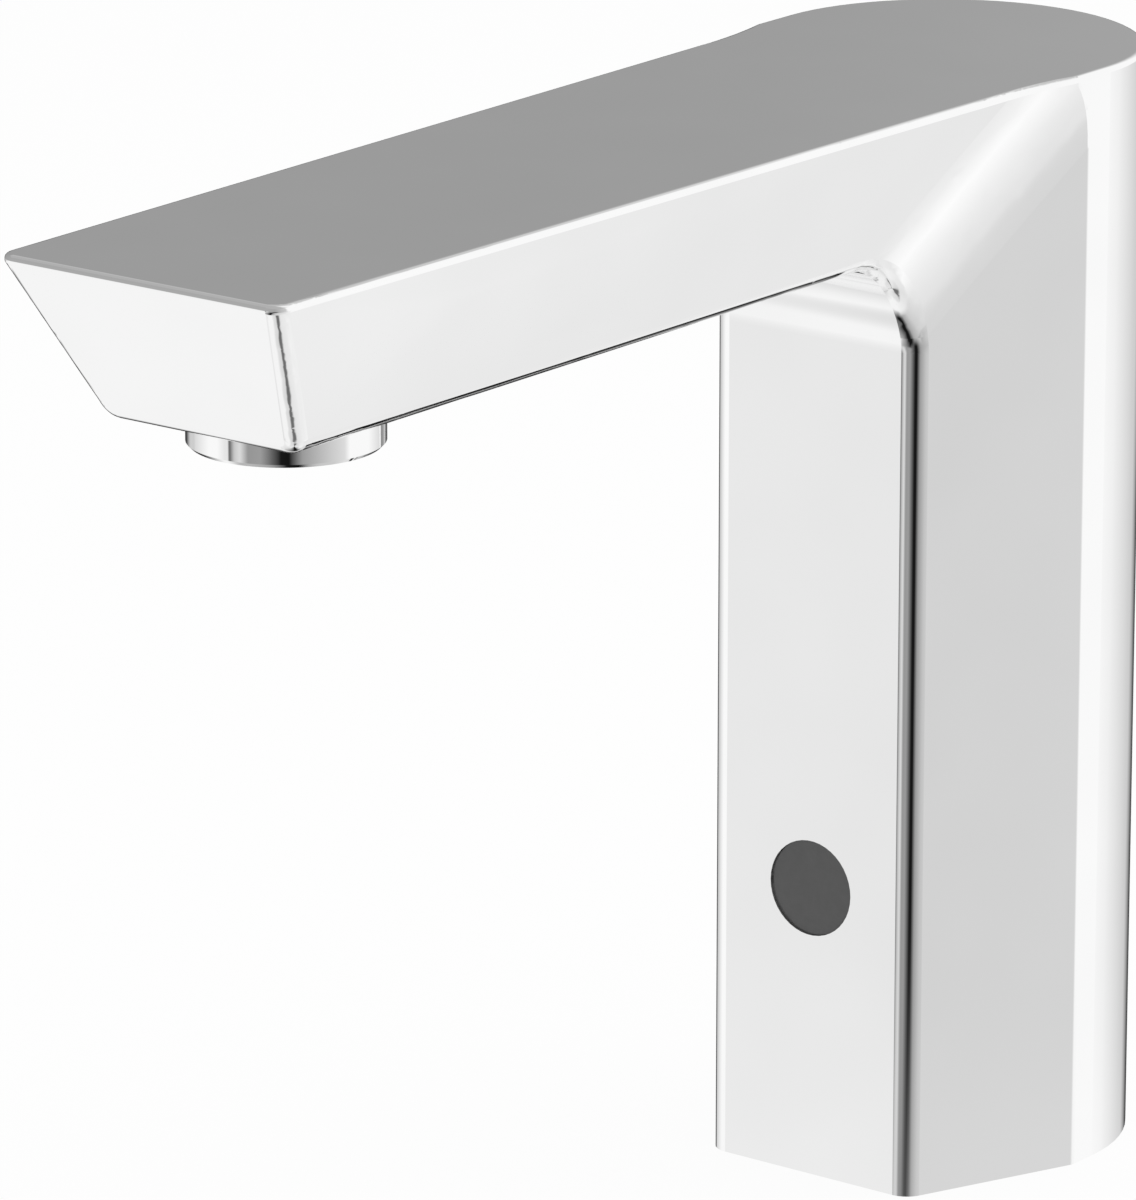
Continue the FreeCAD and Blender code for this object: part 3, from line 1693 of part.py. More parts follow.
# ---------------------------------------------------------------- sensor: window, seal, housing, board
# A dark infra-red window sits just behind the front face; its flange is pressed on a flat seal.
SENSOR_SIZES = {
    "window_recess": 0.4,
    "window_gap": 0.04,
    "window_flange": 1.6,
    "window_flange_thickness": 1,
    "window_seal_thickness": 0.8,
    "housing_radius": 10,
    "housing_wall": 1.2,
    "frame_face": 15,
    "divider": 1,
    "sensor_board_thickness": 1.4,
    "sensor_board_back": 2.2,
    "diode_radius": 1.5,
    "diode_x": 3.4,
    "diode_length": 5,
    "diode_flange": 0.5,
    "lead_radius": 0.8,
    "seal_play": 0.1,
    "divider_play": 0.2,
    "board_play": 0.1,
    "board_edge_gap": 0.2,
    "board_ledge": 1,
    "lead_slot_half": 1.3,
    "lead_slot_play": 0.4,
    "diode_base": 0.8,
    "diode_tip_radius": 0.9,
    "diode_tip_height": 0.1,
    "sensor_screw_x": 6,
    "sensor_screw_head": 1.6,
}
write_sizes(SENSOR_SIZES)
WALL_BACK = "(-front_distance + wall)"
SEAL_BACK = "(%s + window_seal_thickness)" % WALL_BACK
FLANGE_BACK = "(%s + window_flange_thickness)" % SEAL_BACK
HOUSING_BACK = "(-frame_face)"
HOUSING_INNER = "(housing_radius - housing_wall)"


def facing_front(name, profile, x="0"):
    """A turned piece on the sensor's level; its profile heights are distances ahead of the origin."""
    return turned(name, profile, x, "0", "window_level", FACING_FRONT)


def ahead(y):
    """Turn a Y formula into a distance ahead of the origin, along the turned axis."""
    return "-(%s)" % y


node(
    facing_front(
        "window_form",
        [
            ("0", ahead(FLANGE_BACK)),
            ("window_radius + window_flange", ahead(FLANGE_BACK)),
            ("window_radius + window_flange", ahead(SEAL_BACK)),
            ("window_radius - window_gap", ahead(SEAL_BACK)),
            ("window_radius - window_gap", ahead("-front_distance + window_recess")),
            ("0", ahead("-front_distance + window_recess")),
        ],
    ),
    "sensor_window",
)
node(
    facing_front(
        "window_seal_form",
        [
            ("window_radius + seal_play", ahead(SEAL_BACK)),
            ("window_radius + window_flange", ahead(SEAL_BACK)),
            ("window_radius + window_flange", ahead(WALL_BACK)),
            ("window_radius + seal_play", ahead(WALL_BACK)),
        ],
    ),
    "sensor_seal",
)
housing_blank = facing_front(
    "housing_blank",
    [
        ("0", ahead(HOUSING_BACK)),
        ("housing_radius", ahead(HOUSING_BACK)),
        ("housing_radius", ahead(WALL_BACK)),
        (HOUSING_INNER, ahead(WALL_BACK)),
        (HOUSING_INNER, ahead(HOUSING_BACK + " - housing_wall")),
        ("0", ahead(HOUSING_BACK + " - housing_wall")),
    ],
)
BOARD_BACK = "(%s - housing_wall - sensor_board_back)" % HOUSING_BACK
BOARD_FRONT = "(%s - sensor_board_thickness)" % BOARD_BACK
divider_wall = box(
    "divider_wall",
    ("-divider / 2", "divider / 2"),
    (FLANGE_BACK + " + divider_play", BOARD_FRONT + " - board_play"),
    ("window_level - %s - bead" % HOUSING_INNER, "window_level + %s + bead" % HOUSING_INNER),
)
board_ledge = facing_front(
    "board_ledge",
    [
        (HOUSING_INNER + " - board_ledge", ahead(HOUSING_BACK + " - housing_wall + bead")),
        (HOUSING_INNER + " + bead", ahead(HOUSING_BACK + " - housing_wall + bead")),
        (HOUSING_INNER + " + bead", ahead(BOARD_BACK)),
        (HOUSING_INNER + " - board_ledge", ahead(BOARD_BACK)),
    ],
)
lead_slot = box(
    "lead_slot",
    ("diode_x - lead_slot_half", "diode_x + lead_slot_half"),
    (BOARD_BACK, BOARD_BACK + " + 2 * lead_radius + lead_slot_play"),
    ("window_level", "window_level + housing_radius + overcut"),
)
SENSOR_SCREWS = ("-sensor_screw_x", "sensor_screw_x")
housing_threads = [
    lying_cylinder(
        "housing_thread_%d" % n,
        "screw_radius + thread_gap",
        HOUSING_BACK + " - housing_wall - bead",
        HOUSING_BACK + " + overcut",
        x,
        "window_level",
    )
    for n, x in enumerate(SENSOR_SCREWS, 1)
]
housing_solids = fuse("housing_solids", housing_blank, divider_wall, board_ledge)
node(cut("housing_form", housing_solids, lead_slot, *housing_threads), "sensor_housing")
node(
    facing_front(
        "sensor_board_form",
        [
            ("0", ahead(BOARD_BACK)),
            (HOUSING_INNER + " - board_edge_gap", ahead(BOARD_BACK)),
            (HOUSING_INNER + " - board_edge_gap", ahead(BOARD_FRONT)),
            ("0", ahead(BOARD_FRONT)),
        ],
    ),
    "sensor_board",
)
for label, x in (("ir_emitter", "-diode_x"), ("ir_receiver", "diode_x")):
    node(
        facing_front(
            label + "_form",
            [
                ("0", ahead(BOARD_FRONT)),
                ("diode_radius + diode_flange", ahead(BOARD_FRONT)),
                ("diode_radius + diode_flange", ahead(BOARD_FRONT + " - diode_base")),
                ("diode_radius", ahead(BOARD_FRONT + " - diode_base")),
                ("diode_radius", ahead(BOARD_FRONT + " - diode_length + diode_radius / 2")),
                ("diode_tip_radius", ahead(BOARD_FRONT + " - diode_length + diode_tip_height")),
                ("0", ahead(BOARD_FRONT + " - diode_length")),
            ],
            x,
        ),
        label,
    )

# ---------------------------------------------------------------- electronics frame
# A moulded upright behind the sensor. It stands on two screwed feet, carries the sensor housing
# and the control board on its front, and the battery case on the shelf above the solenoid.
FRAME_SIZES = {
    "frame_thickness": 2,
    "frame_half_width": 16,
    "frame_low": 18,
    "shelf_level": 86,
    "shelf_thickness": 2,
    "foot_height": 2.5,
    "foot_half": 3.4,
    "case_half_width": 19,
    "case_front": 17.6,
    "case_depth": 22.6,
    "stand_off": 1.5,
    "stand_off_radius": 2.2,
    "board_low": 57,
    "board_high": 82,
    "board_half_width": 14,
    "board_thickness": 1.6,
    "board_screw_inset": 2.8,
    "peg_x": 12,
    "peg_y": 3,
    "peg_radius": 2,
    "peg_length": 5,
    "peg_gap": 0.1,
    "barb": 0.3,
    "leg_width": 2.4,
    "foot_set_in": 0.2,
    "pin_radius": 1.1,
    "pin_head_radius": 2,
    "pin_head_height": 1.3,
    "pin_gap": 0.15,
    "pin_cover": 0.5,
    "pin_end_gap": 0.2,
    "plug_half": 2.6,
    "plug_window_gap": 0.6,
    "coil_plug_rise": 9,
    "plug_height": 4,
    "coil_plug_reach": 1.5,
}
write_sizes(FRAME_SIZES)
FRAME_BACK = "(-frame_face + frame_thickness)"
SHELF_LOW = "(shelf_level - shelf_thickness)"
frame_solids = [
    box(
        "upright",
        ("-frame_half_width", "frame_half_width"),
        (HOUSING_BACK, FRAME_BACK),
        ("frame_low", "shelf_level"),
    ),
    box(
        "shelf",
        ("-case_half_width", "case_half_width"),
        ("-case_front", "-case_front + case_depth"),
        (SHELF_LOW, "shelf_level"),
    ),
]
for number, (x, y) in enumerate(FEET, 1):
    frame_solids.append(
        box(
            "foot_%d" % number,
            (x + " - foot_half", x + " + foot_half"),
            (HOUSING_BACK, y + " + foot_half - foot_set_in"),
            ("plate_thickness", "plate_thickness + foot_height"),
        )
    )
LEGS = [
    ("frame_half_width - leg_width", "frame_half_width"),
    ("-frame_half_width", "-frame_half_width + leg_width"),
]
for number, span in enumerate(LEGS, 1):
    frame_solids.append(
        box("leg_%d" % number, span, (HOUSING_BACK, FRAME_BACK), ("plate_thickness", "frame_low + overcut"))
    )
BOARD_BACK_Y = "(-frame_face - stand_off)"
BOARD_FRONT_Y = "(%s - board_thickness)" % BOARD_BACK_Y
BOARD_SCREWS = [
    (side + "(board_half_width - board_screw_inset)", level)
    for side in ("", "-")
    for level in ("(board_low + board_screw_inset)", "(board_high - board_screw_inset)")
]
for number, (x, z) in enumerate(BOARD_SCREWS, 1):
    frame_solids.append(
        lying_cylinder(
            "stand_off_%d" % number, "stand_off_radius", BOARD_BACK_Y, HOUSING_BACK + " + bead", x, z
        )
    )
COIL_PLUG_X = CHAMBER_X
COIL_PLUG_Z = "(board_low + coil_plug_rise)"
frame_cuts = [
    box(
        "coil_plug_window",
        (
            COIL_PLUG_X + " - plug_half - plug_window_gap",
            COIL_PLUG_X + " + plug_half + plug_window_gap",
        ),
        ("-frame_face - overcut", "-frame_face + frame_thickness + overcut"),
        (
            COIL_PLUG_Z + " - plug_half - plug_window_gap",
            COIL_PLUG_Z + " + plug_half + plug_window_gap",
        ),
    )
]
for number, (x, z) in enumerate(BOARD_SCREWS, 1):
    frame_cuts.append(
        lying_cylinder(
            "board_thread_%d" % number,
            "pin_radius + thread_gap",
            BOARD_BACK_Y + " - overcut",
            FRAME_BACK + " - pin_cover",
            x,
            z,
        )
    )
for number, x in enumerate(("peg_x", "-peg_x"), 1):
    frame_cuts.append(
        cylinder(
            "peg_hole_%d" % number,
            "peg_radius + peg_gap",
            SHELF_LOW + " - overcut",
            "shelf_level + overcut",
            x,
            "-peg_y",
        )
    )
for number, (x, y) in enumerate(FEET, 1):
    frame_cuts.append(
        cylinder(
            "foot_hole_%d" % number,
            "screw_hole_radius",
            "plate_thickness - overcut",
            "plate_thickness + foot_height + overcut",
            x,
            y,
        )
    )
for number, x in enumerate(SENSOR_SCREWS, 1):
    frame_cuts.append(
        lying_cylinder(
            "sensor_screw_hole_%d" % number,
            "screw_hole_radius",
            HOUSING_BACK + " - overcut",
            FRAME_BACK + " + overcut",
            x,
            "window_level",
        )
    )
node(cut("frame_form", fuse("frame_solids", *frame_solids), *frame_cuts), "electronics_frame")
FOOT_TOP = "(plate_thickness + foot_height)"
node(
    group(
        "frame_screw_set",
        [
            pan_screw("frame_screw_%d" % n, FOOT_TOP, "foot_height + ear_screw_depth - thread_end_gap", x, y)
            for n, (x, y) in enumerate(FEET, 1)
        ],
    ),
    "frame_screws",
)
sensor_screw_set = []
for number, x in enumerate(SENSOR_SCREWS, 1):
    sensor_screw_set.append(
        turned(
            "sensor_screw_%d" % number,
            [
                ("0", ahead(HOUSING_BACK + " - housing_wall")),
                ("screw_radius", ahead(HOUSING_BACK + " - housing_wall")),
                ("screw_radius", ahead(FRAME_BACK)),
                ("pan_head_radius", ahead(FRAME_BACK)),
                ("pan_head_radius", ahead(FRAME_BACK + " + sensor_screw_head")),
                ("0", ahead(FRAME_BACK + " + sensor_screw_head")),
            ],
            x,
            "0",
            "window_level",
            FACING_FRONT,
        )
    )
node(group("sensor_screw_group", sensor_screw_set), "sensor_screws")

# ---------------------------------------------------------------- control board and what is on it
board_blank = box(
    "board_blank",
    ("-board_half_width", "board_half_width"),
    (BOARD_FRONT_Y, BOARD_BACK_Y),
    ("board_low", "board_high"),
)
board_holes = [
    lying_cylinder(
        "board_hole_%d" % number,
        "pin_radius + pin_gap",
        BOARD_FRONT_Y + " - overcut",
        BOARD_BACK_Y + " + overcut",
        x,
        z,
    )
    for number, (x, z) in enumerate(BOARD_SCREWS, 1)
]
node(cut("board_form", board_blank, *board_holes), "control_board")
node(
    group(
        "board_screw_set",
        [
            turned(
                "board_screw_%d" % number,
                [
                    ("0", ahead(FRAME_BACK + " - pin_cover - pin_end_gap")),
                    ("pin_radius", ahead(FRAME_BACK + " - pin_cover - pin_end_gap")),
                    ("pin_radius", ahead(BOARD_FRONT_Y)),
                    ("pin_head_radius", ahead(BOARD_FRONT_Y)),
                    ("pin_head_radius", ahead(BOARD_FRONT_Y + " - pin_head_height")),
                    ("0", ahead(BOARD_FRONT_Y + " - pin_head_height")),
                ],
                x,
                "0",
                z,
                FACING_FRONT,
            )
            for number, (x, z) in enumerate(BOARD_SCREWS, 1)
        ],
    ),
    "board_screws",
)
BOARD_SIZES = {
    "capacitor_radius": 3,
    "capacitor_length": 7,
    "chip_half": 3.5,
    "chip_height": 1.2,
    "battery_plug_x": 6,
    "capacitor_x": 7,
    "chip_x": 2,
    "parts_rise": 11,
}
write_sizes(BOARD_SIZES)
node(
    turned(
        "capacitor_form",
        [
            ("0", "0"),
            ("capacitor_radius", "0"),
            ("capacitor_radius", "capacitor_length"),
            ("0", "capacitor_length"),
        ],
        "-capacitor_x",
        BOARD_FRONT_Y + " - capacitor_radius",
        "board_low + parts_rise",
    ),
    "board_capacitor",
)
node(
    box(
        "chip_form",
        ("chip_x - chip_half", "chip_x + chip_half"),
        (BOARD_FRONT_Y + " - chip_height", BOARD_FRONT_Y),
        ("board_low + parts_rise - chip_half", "board_low + parts_rise + chip_half"),
    ),
    "board_chip",
)
SENSOR_PLUG_X = "diode_x"
sensor_plug = box(
    "sensor_plug",
    (SENSOR_PLUG_X + " - plug_half", SENSOR_PLUG_X + " + plug_half"),
    (BOARD_FRONT_Y + " - plug_height", BOARD_FRONT_Y),
    ("board_low", "board_low + plug_height"),
)
battery_plug = box(
    "battery_plug",
    ("battery_plug_x - plug_half", "battery_plug_x + plug_half"),
    (BOARD_FRONT_Y + " - plug_height", BOARD_FRONT_Y),
    ("board_high - plug_height", "board_high"),
)
coil_plug = box(
    "coil_plug",
    (COIL_PLUG_X + " - plug_half", COIL_PLUG_X + " + plug_half"),
    (BOARD_BACK_Y, "-frame_face + frame_thickness + coil_plug_reach"),
    (COIL_PLUG_Z + " - plug_half", COIL_PLUG_Z + " + plug_half"),
)
node(group("plug_set", [sensor_plug, battery_plug, coil_plug]), "board_plugs")

# ---------------------------------------------------------------- battery, its case, lid and contacts
BATTERY_SIZES = {
    "case_wall": 1.5,
    "battery_width": 35,
    "battery_depth": 19.5,
    "battery_height": 36,
    "lid_thickness": 2,
    "lid_plug": 1.6,
    "lid_gap": 0.1,
    "contact_thickness": 0.4,
    "contact_half": 3,
    "contact_x": 8,
    "contact_half_depth": 5,
    "lead_exit_rise": 4,
    "lead_hole_play": 0.1,
    "lid_grip_half": 6,
    "lid_grip_half_width": 1,
    "lid_grip_height": 1.5,
}
write_sizes(BATTERY_SIZES)
CONTACT_TOP = "(shelf_level + case_wall + battery_height + contact_thickness)"
CASE_TOP = "(%s + lid_plug)" % CONTACT_TOP
CASE_X = ("-case_half_width", "case_half_width")
CASE_Y = ("-case_front", "-case_front + case_depth")
case_blank = box("case_blank", CASE_X, CASE_Y, ("shelf_level", CASE_TOP))
case_hollow = box(
    "case_hollow",
    ("-case_half_width + case_wall", "case_half_width - case_wall"),
    ("-case_front + case_wall", "-case_front + case_depth - case_wall"),
    ("shelf_level + case_wall", CASE_TOP + " + overcut"),
)
LEAD_EXIT_Z = "(shelf_level + lead_exit_rise)"
case_lead_hole = lying_cylinder(
    "case_lead_hole",
    "lead_radius + lead_hole_play",
    "-case_front - overcut",
    "-case_front + case_wall + overcut",
    "battery_plug_x",
    LEAD_EXIT_Z,
)
case_pegs = []
for number, x in enumerate(("peg_x", "-peg_x"), 1):
    case_pegs.append(
        cylinder("case_peg_%d" % number, "peg_radius", "shelf_level - peg_length", "shelf_level", x, "-peg_y")
    )
    case_pegs.append(
        turned(
            "case_barb_%d" % number,
            [
                ("0", "shelf_level - peg_length"),
                ("peg_radius", "shelf_level - peg_length"),
                ("peg_radius + barb", "shelf_level - shelf_thickness"),
                ("0", "shelf_level - shelf_thickness"),
            ],
            x,
            "-peg_y",
        )
    )
node(
    fuse("case_form", cut("case_shell", case_blank, case_hollow, case_lead_hole), *case_pegs),
    "battery_case",
)
BATTERY_Y = "(-case_front + case_depth / 2)"
battery_block = box(
    "battery_block",
    ("-battery_width / 2 + battery_depth / 2", "battery_width / 2 - battery_depth / 2"),
    (BATTERY_Y + " - battery_depth / 2", BATTERY_Y + " + battery_depth / 2"),
    ("shelf_level + case_wall", "shelf_level + case_wall + battery_height"),
)
battery_ends = [
    cylinder(
        "battery_end_%d" % number,
        "battery_depth / 2",
        "shelf_level + case_wall",
        "shelf_level + case_wall + battery_height",
        x,
        BATTERY_Y,
    )
    for number, x in enumerate(
        ("-battery_width / 2 + battery_depth / 2", "battery_width / 2 - battery_depth / 2"), 1
    )
]
node(fuse("battery_form", battery_block, *battery_ends), "battery")
node(
    group(
        "contact_set",
        [
            box(
                "contact_%d" % number,
                (x + " - contact_half", x + " + contact_half"),
                (BATTERY_Y + " - contact_half_depth", BATTERY_Y + " + contact_half_depth"),
                (CONTACT_TOP + " - contact_thickness", CONTACT_TOP),
            )
            for number, x in enumerate(("contact_x", "(-contact_x)"), 1)
        ],
    ),
    "battery_contacts",
)
lid_blank = box("lid_blank", CASE_X, CASE_Y, (CASE_TOP, CASE_TOP + " + lid_thickness"))
lid_grip = box(
    "lid_grip",
    ("-lid_grip_half", "lid_grip_half"),
    (BATTERY_Y + " - lid_grip_half_width", BATTERY_Y + " + lid_grip_half_width"),
    (CASE_TOP + " + lid_thickness / 2", CASE_TOP + " + lid_thickness + lid_grip_height"),
)
lid_plug_block = box(
    "lid_plug_block",
    ("-case_half_width + case_wall + lid_gap", "case_half_width - case_wall - lid_gap"),
    ("-case_front + case_wall + lid_gap", "-case_front + case_depth - case_wall - lid_gap"),
    (CONTACT_TOP, CASE_TOP),
)
node(fuse("lid_form", lid_blank, lid_grip, lid_plug_block), "battery_lid")

# ---------------------------------------------------------------- leads
# Round leads between the pieces: each leaves its plug straight and turns on small bends.
LEAD_SIZES = {
    "lead_standoff": 2,
    "sensor_lead_start": 4,
    "sensor_lead_rise": 1.6,
    "sensor_lead_drop": 3,
    "sensor_lead_bend": 0.6,
}
write_sizes(LEAD_SIZES)
LEAD_Y = "(%s - lead_standoff)" % BOARD_FRONT_Y
node(
    swept(
        "battery_lead_form",
        [
            Vector(value("battery_plug_x"), value("-case_front + case_wall"), value(LEAD_EXIT_Z)),
            Vector(value("battery_plug_x"), value(LEAD_Y), value(LEAD_EXIT_Z)),
            Vector(value("battery_plug_x"), value(LEAD_Y), value("board_high")),
        ],
        [value("2 * lead_radius")],
        value("lead_radius"),
    ),
    "battery_lead",
)
SENSOR_LEAD_Y = "(%s + lead_radius)" % BOARD_BACK
sensor_lead_x = value("diode_x")
node(
    swept(
        "sensor_lead_form",
        [
            Vector(sensor_lead_x, value(SENSOR_LEAD_Y), value("window_level + sensor_lead_start")),
            Vector(
                sensor_lead_x,
                value(SENSOR_LEAD_Y),
                value("window_level + housing_radius + sensor_lead_rise"),
            ),
            Vector(sensor_lead_x, value(LEAD_Y), value("window_level + housing_radius + sensor_lead_drop")),
            Vector(sensor_lead_x, value(LEAD_Y), value("board_low")),
        ],
        [value("sensor_lead_bend")] * 2,
        value("lead_radius"),
    ),
    "sensor_lead",
)
node(
    lying_cylinder(
        "coil_lead_form",
        "lead_radius",
        "-frame_face + frame_thickness + coil_plug_reach",
        "chamber_y - bobbin_radius + winding_inset",
        COIL_PLUG_X,
        COIL_PLUG_Z,
    ),
    "coil_lead",
)

# ---------------------------------------------------------------- check and write
document.recompute()
faults = [item.Label for item in document.Objects if "Invalid" in item.State or "Error" in item.State]
for item in nodes:
    if item.Shape.isNull() or not item.Shape.isValid() or not item.Shape.Solids:
        faults.append(item.Label + " has no valid solid")
if faults:
    raise RuntimeError("parts that failed: " + ", ".join(faults))
for item in nodes:
    item.Shape.exportStep("parts/%s.step" % item.Label)
    print(item.Label, len(item.Shape.Solids), round(item.Shape.Volume, 1))
print(len(nodes), "nodes")
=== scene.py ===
import math

import bpy
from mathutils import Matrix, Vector


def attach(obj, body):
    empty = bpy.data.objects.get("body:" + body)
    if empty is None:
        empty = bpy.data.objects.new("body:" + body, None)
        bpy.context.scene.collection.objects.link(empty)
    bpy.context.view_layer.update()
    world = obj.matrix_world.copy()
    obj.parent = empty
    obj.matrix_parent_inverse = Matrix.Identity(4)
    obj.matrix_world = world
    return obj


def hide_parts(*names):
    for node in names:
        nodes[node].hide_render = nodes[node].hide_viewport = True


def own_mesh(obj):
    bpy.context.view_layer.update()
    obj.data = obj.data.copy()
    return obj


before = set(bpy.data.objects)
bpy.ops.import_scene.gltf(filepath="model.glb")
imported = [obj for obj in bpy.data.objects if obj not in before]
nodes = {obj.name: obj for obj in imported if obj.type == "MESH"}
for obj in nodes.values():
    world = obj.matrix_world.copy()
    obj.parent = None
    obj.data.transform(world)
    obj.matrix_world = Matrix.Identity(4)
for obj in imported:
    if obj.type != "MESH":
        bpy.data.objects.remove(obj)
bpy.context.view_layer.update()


# --- Column and spout -------------------------------------------------------------------------
# One hollow brass casting, ground, polished and plated with nickel and chromium. The collar that
# screws into the spout has the same plate. It is mirror bright, so the eye sees the room in it;
# buffing leaves it a trace hazier and barely wavy.
MM = 0.001


def linear(text):
    """The linear colour of an sRGB hex value."""
    parts = [int(text[place : place + 2], 16) / 255 for place in (1, 3, 5)]
    return [part / 12.92 if part <= 0.04045 else ((part + 0.055) / 1.055) ** 2.4 for part in parts] + [1.0]


def add(tree, kind, settings=None, links=None):
    """Add a node: settings go to its properties, sockets or colour band, links into its sockets."""
    item = tree.nodes.new(kind)
    for name, setting in (settings or {}).items():
        if name == "band":
            band = item.color_ramp.elements
            while len(band) < len(setting):
                band.new(0.5)
            for element, (spot, text) in zip(band, setting):
                element.position = spot
                element.color = linear(text)
        elif isinstance(name, str) and hasattr(item, name):
            setattr(item, name, setting)
        else:
            item.inputs[name].default_value = setting
    for name, source in (links or {}).items():
        tree.links.new(source, item.inputs[name])
    return item


def material(name, **constants):
    """A material with its shader, and the piece's own coordinates in metres."""
    made = bpy.data.materials.new(name)
    made.use_nodes = True
    tree = made.node_tree
    tree.nodes.clear()
    shader = add(tree, "ShaderNodeBsdfPrincipled")
    for socket, setting in constants.items():
        shader.inputs[socket].default_value = setting
    add(tree, "ShaderNodeOutputMaterial", links={"Surface": shader.outputs["BSDF"]})
    place = add(tree, "ShaderNodeTexCoord").outputs["Object"]
    return made, tree, shader, place


def dress(tree, shader, pattern, colours, rough, relief):
    """Let one pattern vary a surface's colour, its roughness and its relief in metres."""
    low, high = colours
    tint = add(tree, "ShaderNodeValToRGB", {"band": [(0.3, low), (0.7, high)]}, {"Fac": pattern})
    gloss = add(
        tree,
        "ShaderNodeMapRange",
        {"From Min": 0.3, "From Max": 0.7, "To Min": rough[0], "To Max": rough[1]},
        {"Value": pattern},
    )
    bump = add(tree, "ShaderNodeBump", {"Strength": 0.5, "Distance": relief}, {"Height": pattern})
    tree.links.new(tint.outputs["Color"], shader.inputs["Base Color"])
    tree.links.new(gloss.outputs["Result"], shader.inputs["Roughness"])
    tree.links.new(bump.outputs["Normal"], shader.inputs["Normal"])


def finish(made, *names):
    """Put a material on pieces of the frame."""
    for name in names:
        nodes[name].data.materials.clear()
        nodes[name].data.materials.append(made)


BUFFING_WAVE = 18 * MM
WAVE_HEIGHT = 0.0001 * MM
chrome, tree, shader, place = material("polished_chrome_plate", Metallic=1.0)
wave = add(tree, "ShaderNodeTexNoise", {"Scale": 1 / BUFFING_WAVE, "Detail": 1.0}, {"Vector": place})
dress(tree, shader, wave.outputs["Fac"], ("#F8F8F8", "#FAFAFA"), (0.015, 0.03), WAVE_HEIGHT)
finish(chrome, "body_shell", "aerator_collar")

# --- Foot plate and outlet spigot -------------------------------------------------------------
# Free-cutting brass, left bare. The plate is milled flat and the spigot turned, so both show
# fine even tool lines and a warm soft shine.
TOOL_LINE = 0.4 * MM
LINES_PER_SCALE = 0.314  # metres between the lines of a wave pattern whose scale is one
brass, tree, shader, place = material("machined_brass", Metallic=1.0)
lines = add(
    tree,
    "ShaderNodeTexWave",
    {"wave_type": "RINGS", "rings_direction": "Z", "Scale": LINES_PER_SCALE / TOOL_LINE, "Distortion": 0.6},
    {"Vector": place},
)
dress(tree, shader, lines.outputs["Fac"], ("#C9A867", "#D8BA7C"), (0.22, 0.32), 0.01 * MM)
finish(brass, "base_plate", "outlet_spigot")

# --- Seals and gaskets ------------------------------------------------------------------------
# Moulded EPDM rubber, pressed between the pieces that they seal. Black and matt, with the faint
# grain of the mould.
MOULD_GRAIN = 0.3 * MM
rubber, tree, shader, place = material("moulded_black_rubber", IOR=1.5)
grain = add(tree, "ShaderNodeTexNoise", {"Scale": 1 / MOULD_GRAIN, "Detail": 3.0}, {"Vector": place})
dress(tree, shader, grain.outputs["Fac"], ("#1C1C1C", "#242424"), (0.65, 0.8), 0.02 * MM)
finish(rubber, "base_seal", "inlet_gasket", "aerator_washer", "tube_seals", "sensor_seal")

# --- Screws, plunger tube and plunger ---------------------------------------------------------
# Turned stainless steel: the screws are driven into brass or plastic, the thin tube is clamped
# under the bonnet and the plunger slides in it. Grey, with fine rings from the lathe.
LATHE_LINE = 0.25 * MM
steel, tree, shader, place = material("turned_stainless_steel", Metallic=1.0)
rings = add(
    tree,
    "ShaderNodeTexWave",
    {"bands_direction": "Z", "Scale": LINES_PER_SCALE / LATHE_LINE, "Distortion": 0.4, "Detail": 1.0},
    {"Vector": place},
)
dress(tree, shader, rings.outputs["Fac"], ("#B4B4B2", "#C6C6C4"), (0.24, 0.34), 0.005 * MM)
finish(
    steel,
    "base_screws",
    "valve_block_screws",
    "bonnet_screws",
    "frame_screws",
    "sensor_screws",
    "board_screws",
    "armature_tube",
    "plunger",
    "fixed_core",
    "coil_nut",
)

# --- Strainers --------------------------------------------------------------------------------
# Etched stainless sheet, held in the hose inlet and in the aerator. The etching leaves it paler
# and duller than the turned steel.
ETCH_GRAIN = 0.15 * MM
screen, tree, shader, place = material("etched_stainless_sheet", Metallic=1.0)
etch = add(tree, "ShaderNodeTexNoise", {"Scale": 1 / ETCH_GRAIN, "Detail": 4.0}, {"Vector": place})
dress(tree, shader, etch.outputs["Fac"], ("#B9B9B7", "#CDCDCB"), (0.38, 0.5), 0.01 * MM)
finish(screen, "inlet_strainer", "aerator_screen")

# --- Springs ----------------------------------------------------------------------------------
# Hard-drawn stainless wire, wound cold. Drawing leaves it bright with faint marks along it. Each
# coil stands between a fixed seat and the piece that it pushes down. Each is copied into an object
# of its own, hung on the tap, and the frame's spring is hidden.
DIE_MARK = 0.1 * MM
wire, tree, shader, place = material("drawn_spring_wire", Metallic=1.0)
marks = add(tree, "ShaderNodeTexNoise", {"Scale": 1 / DIE_MARK, "Detail": 2.0}, {"Vector": place})
dress(tree, shader, marks.outputs["Fac"], ("#BEBEBC", "#D2D2D0"), (0.18, 0.28), 0.004 * MM)
finish(wire, "check_valve_spring", "plunger_spring")
for name, joint, travel, fixed_end in (
    ("check_valve_spring", "poppet_lift", 2.0 * MM, 22.1 * MM),
    ("plunger_spring", "plunger_lift", 2.5 * MM, 66.99 * MM),
):
    coil = bpy.data.objects.new(name + "_coil", nodes[name].data.copy())
    bpy.context.scene.collection.objects.link(coil)
    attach(coil, "tap")
    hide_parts(name)
    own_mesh(coil)

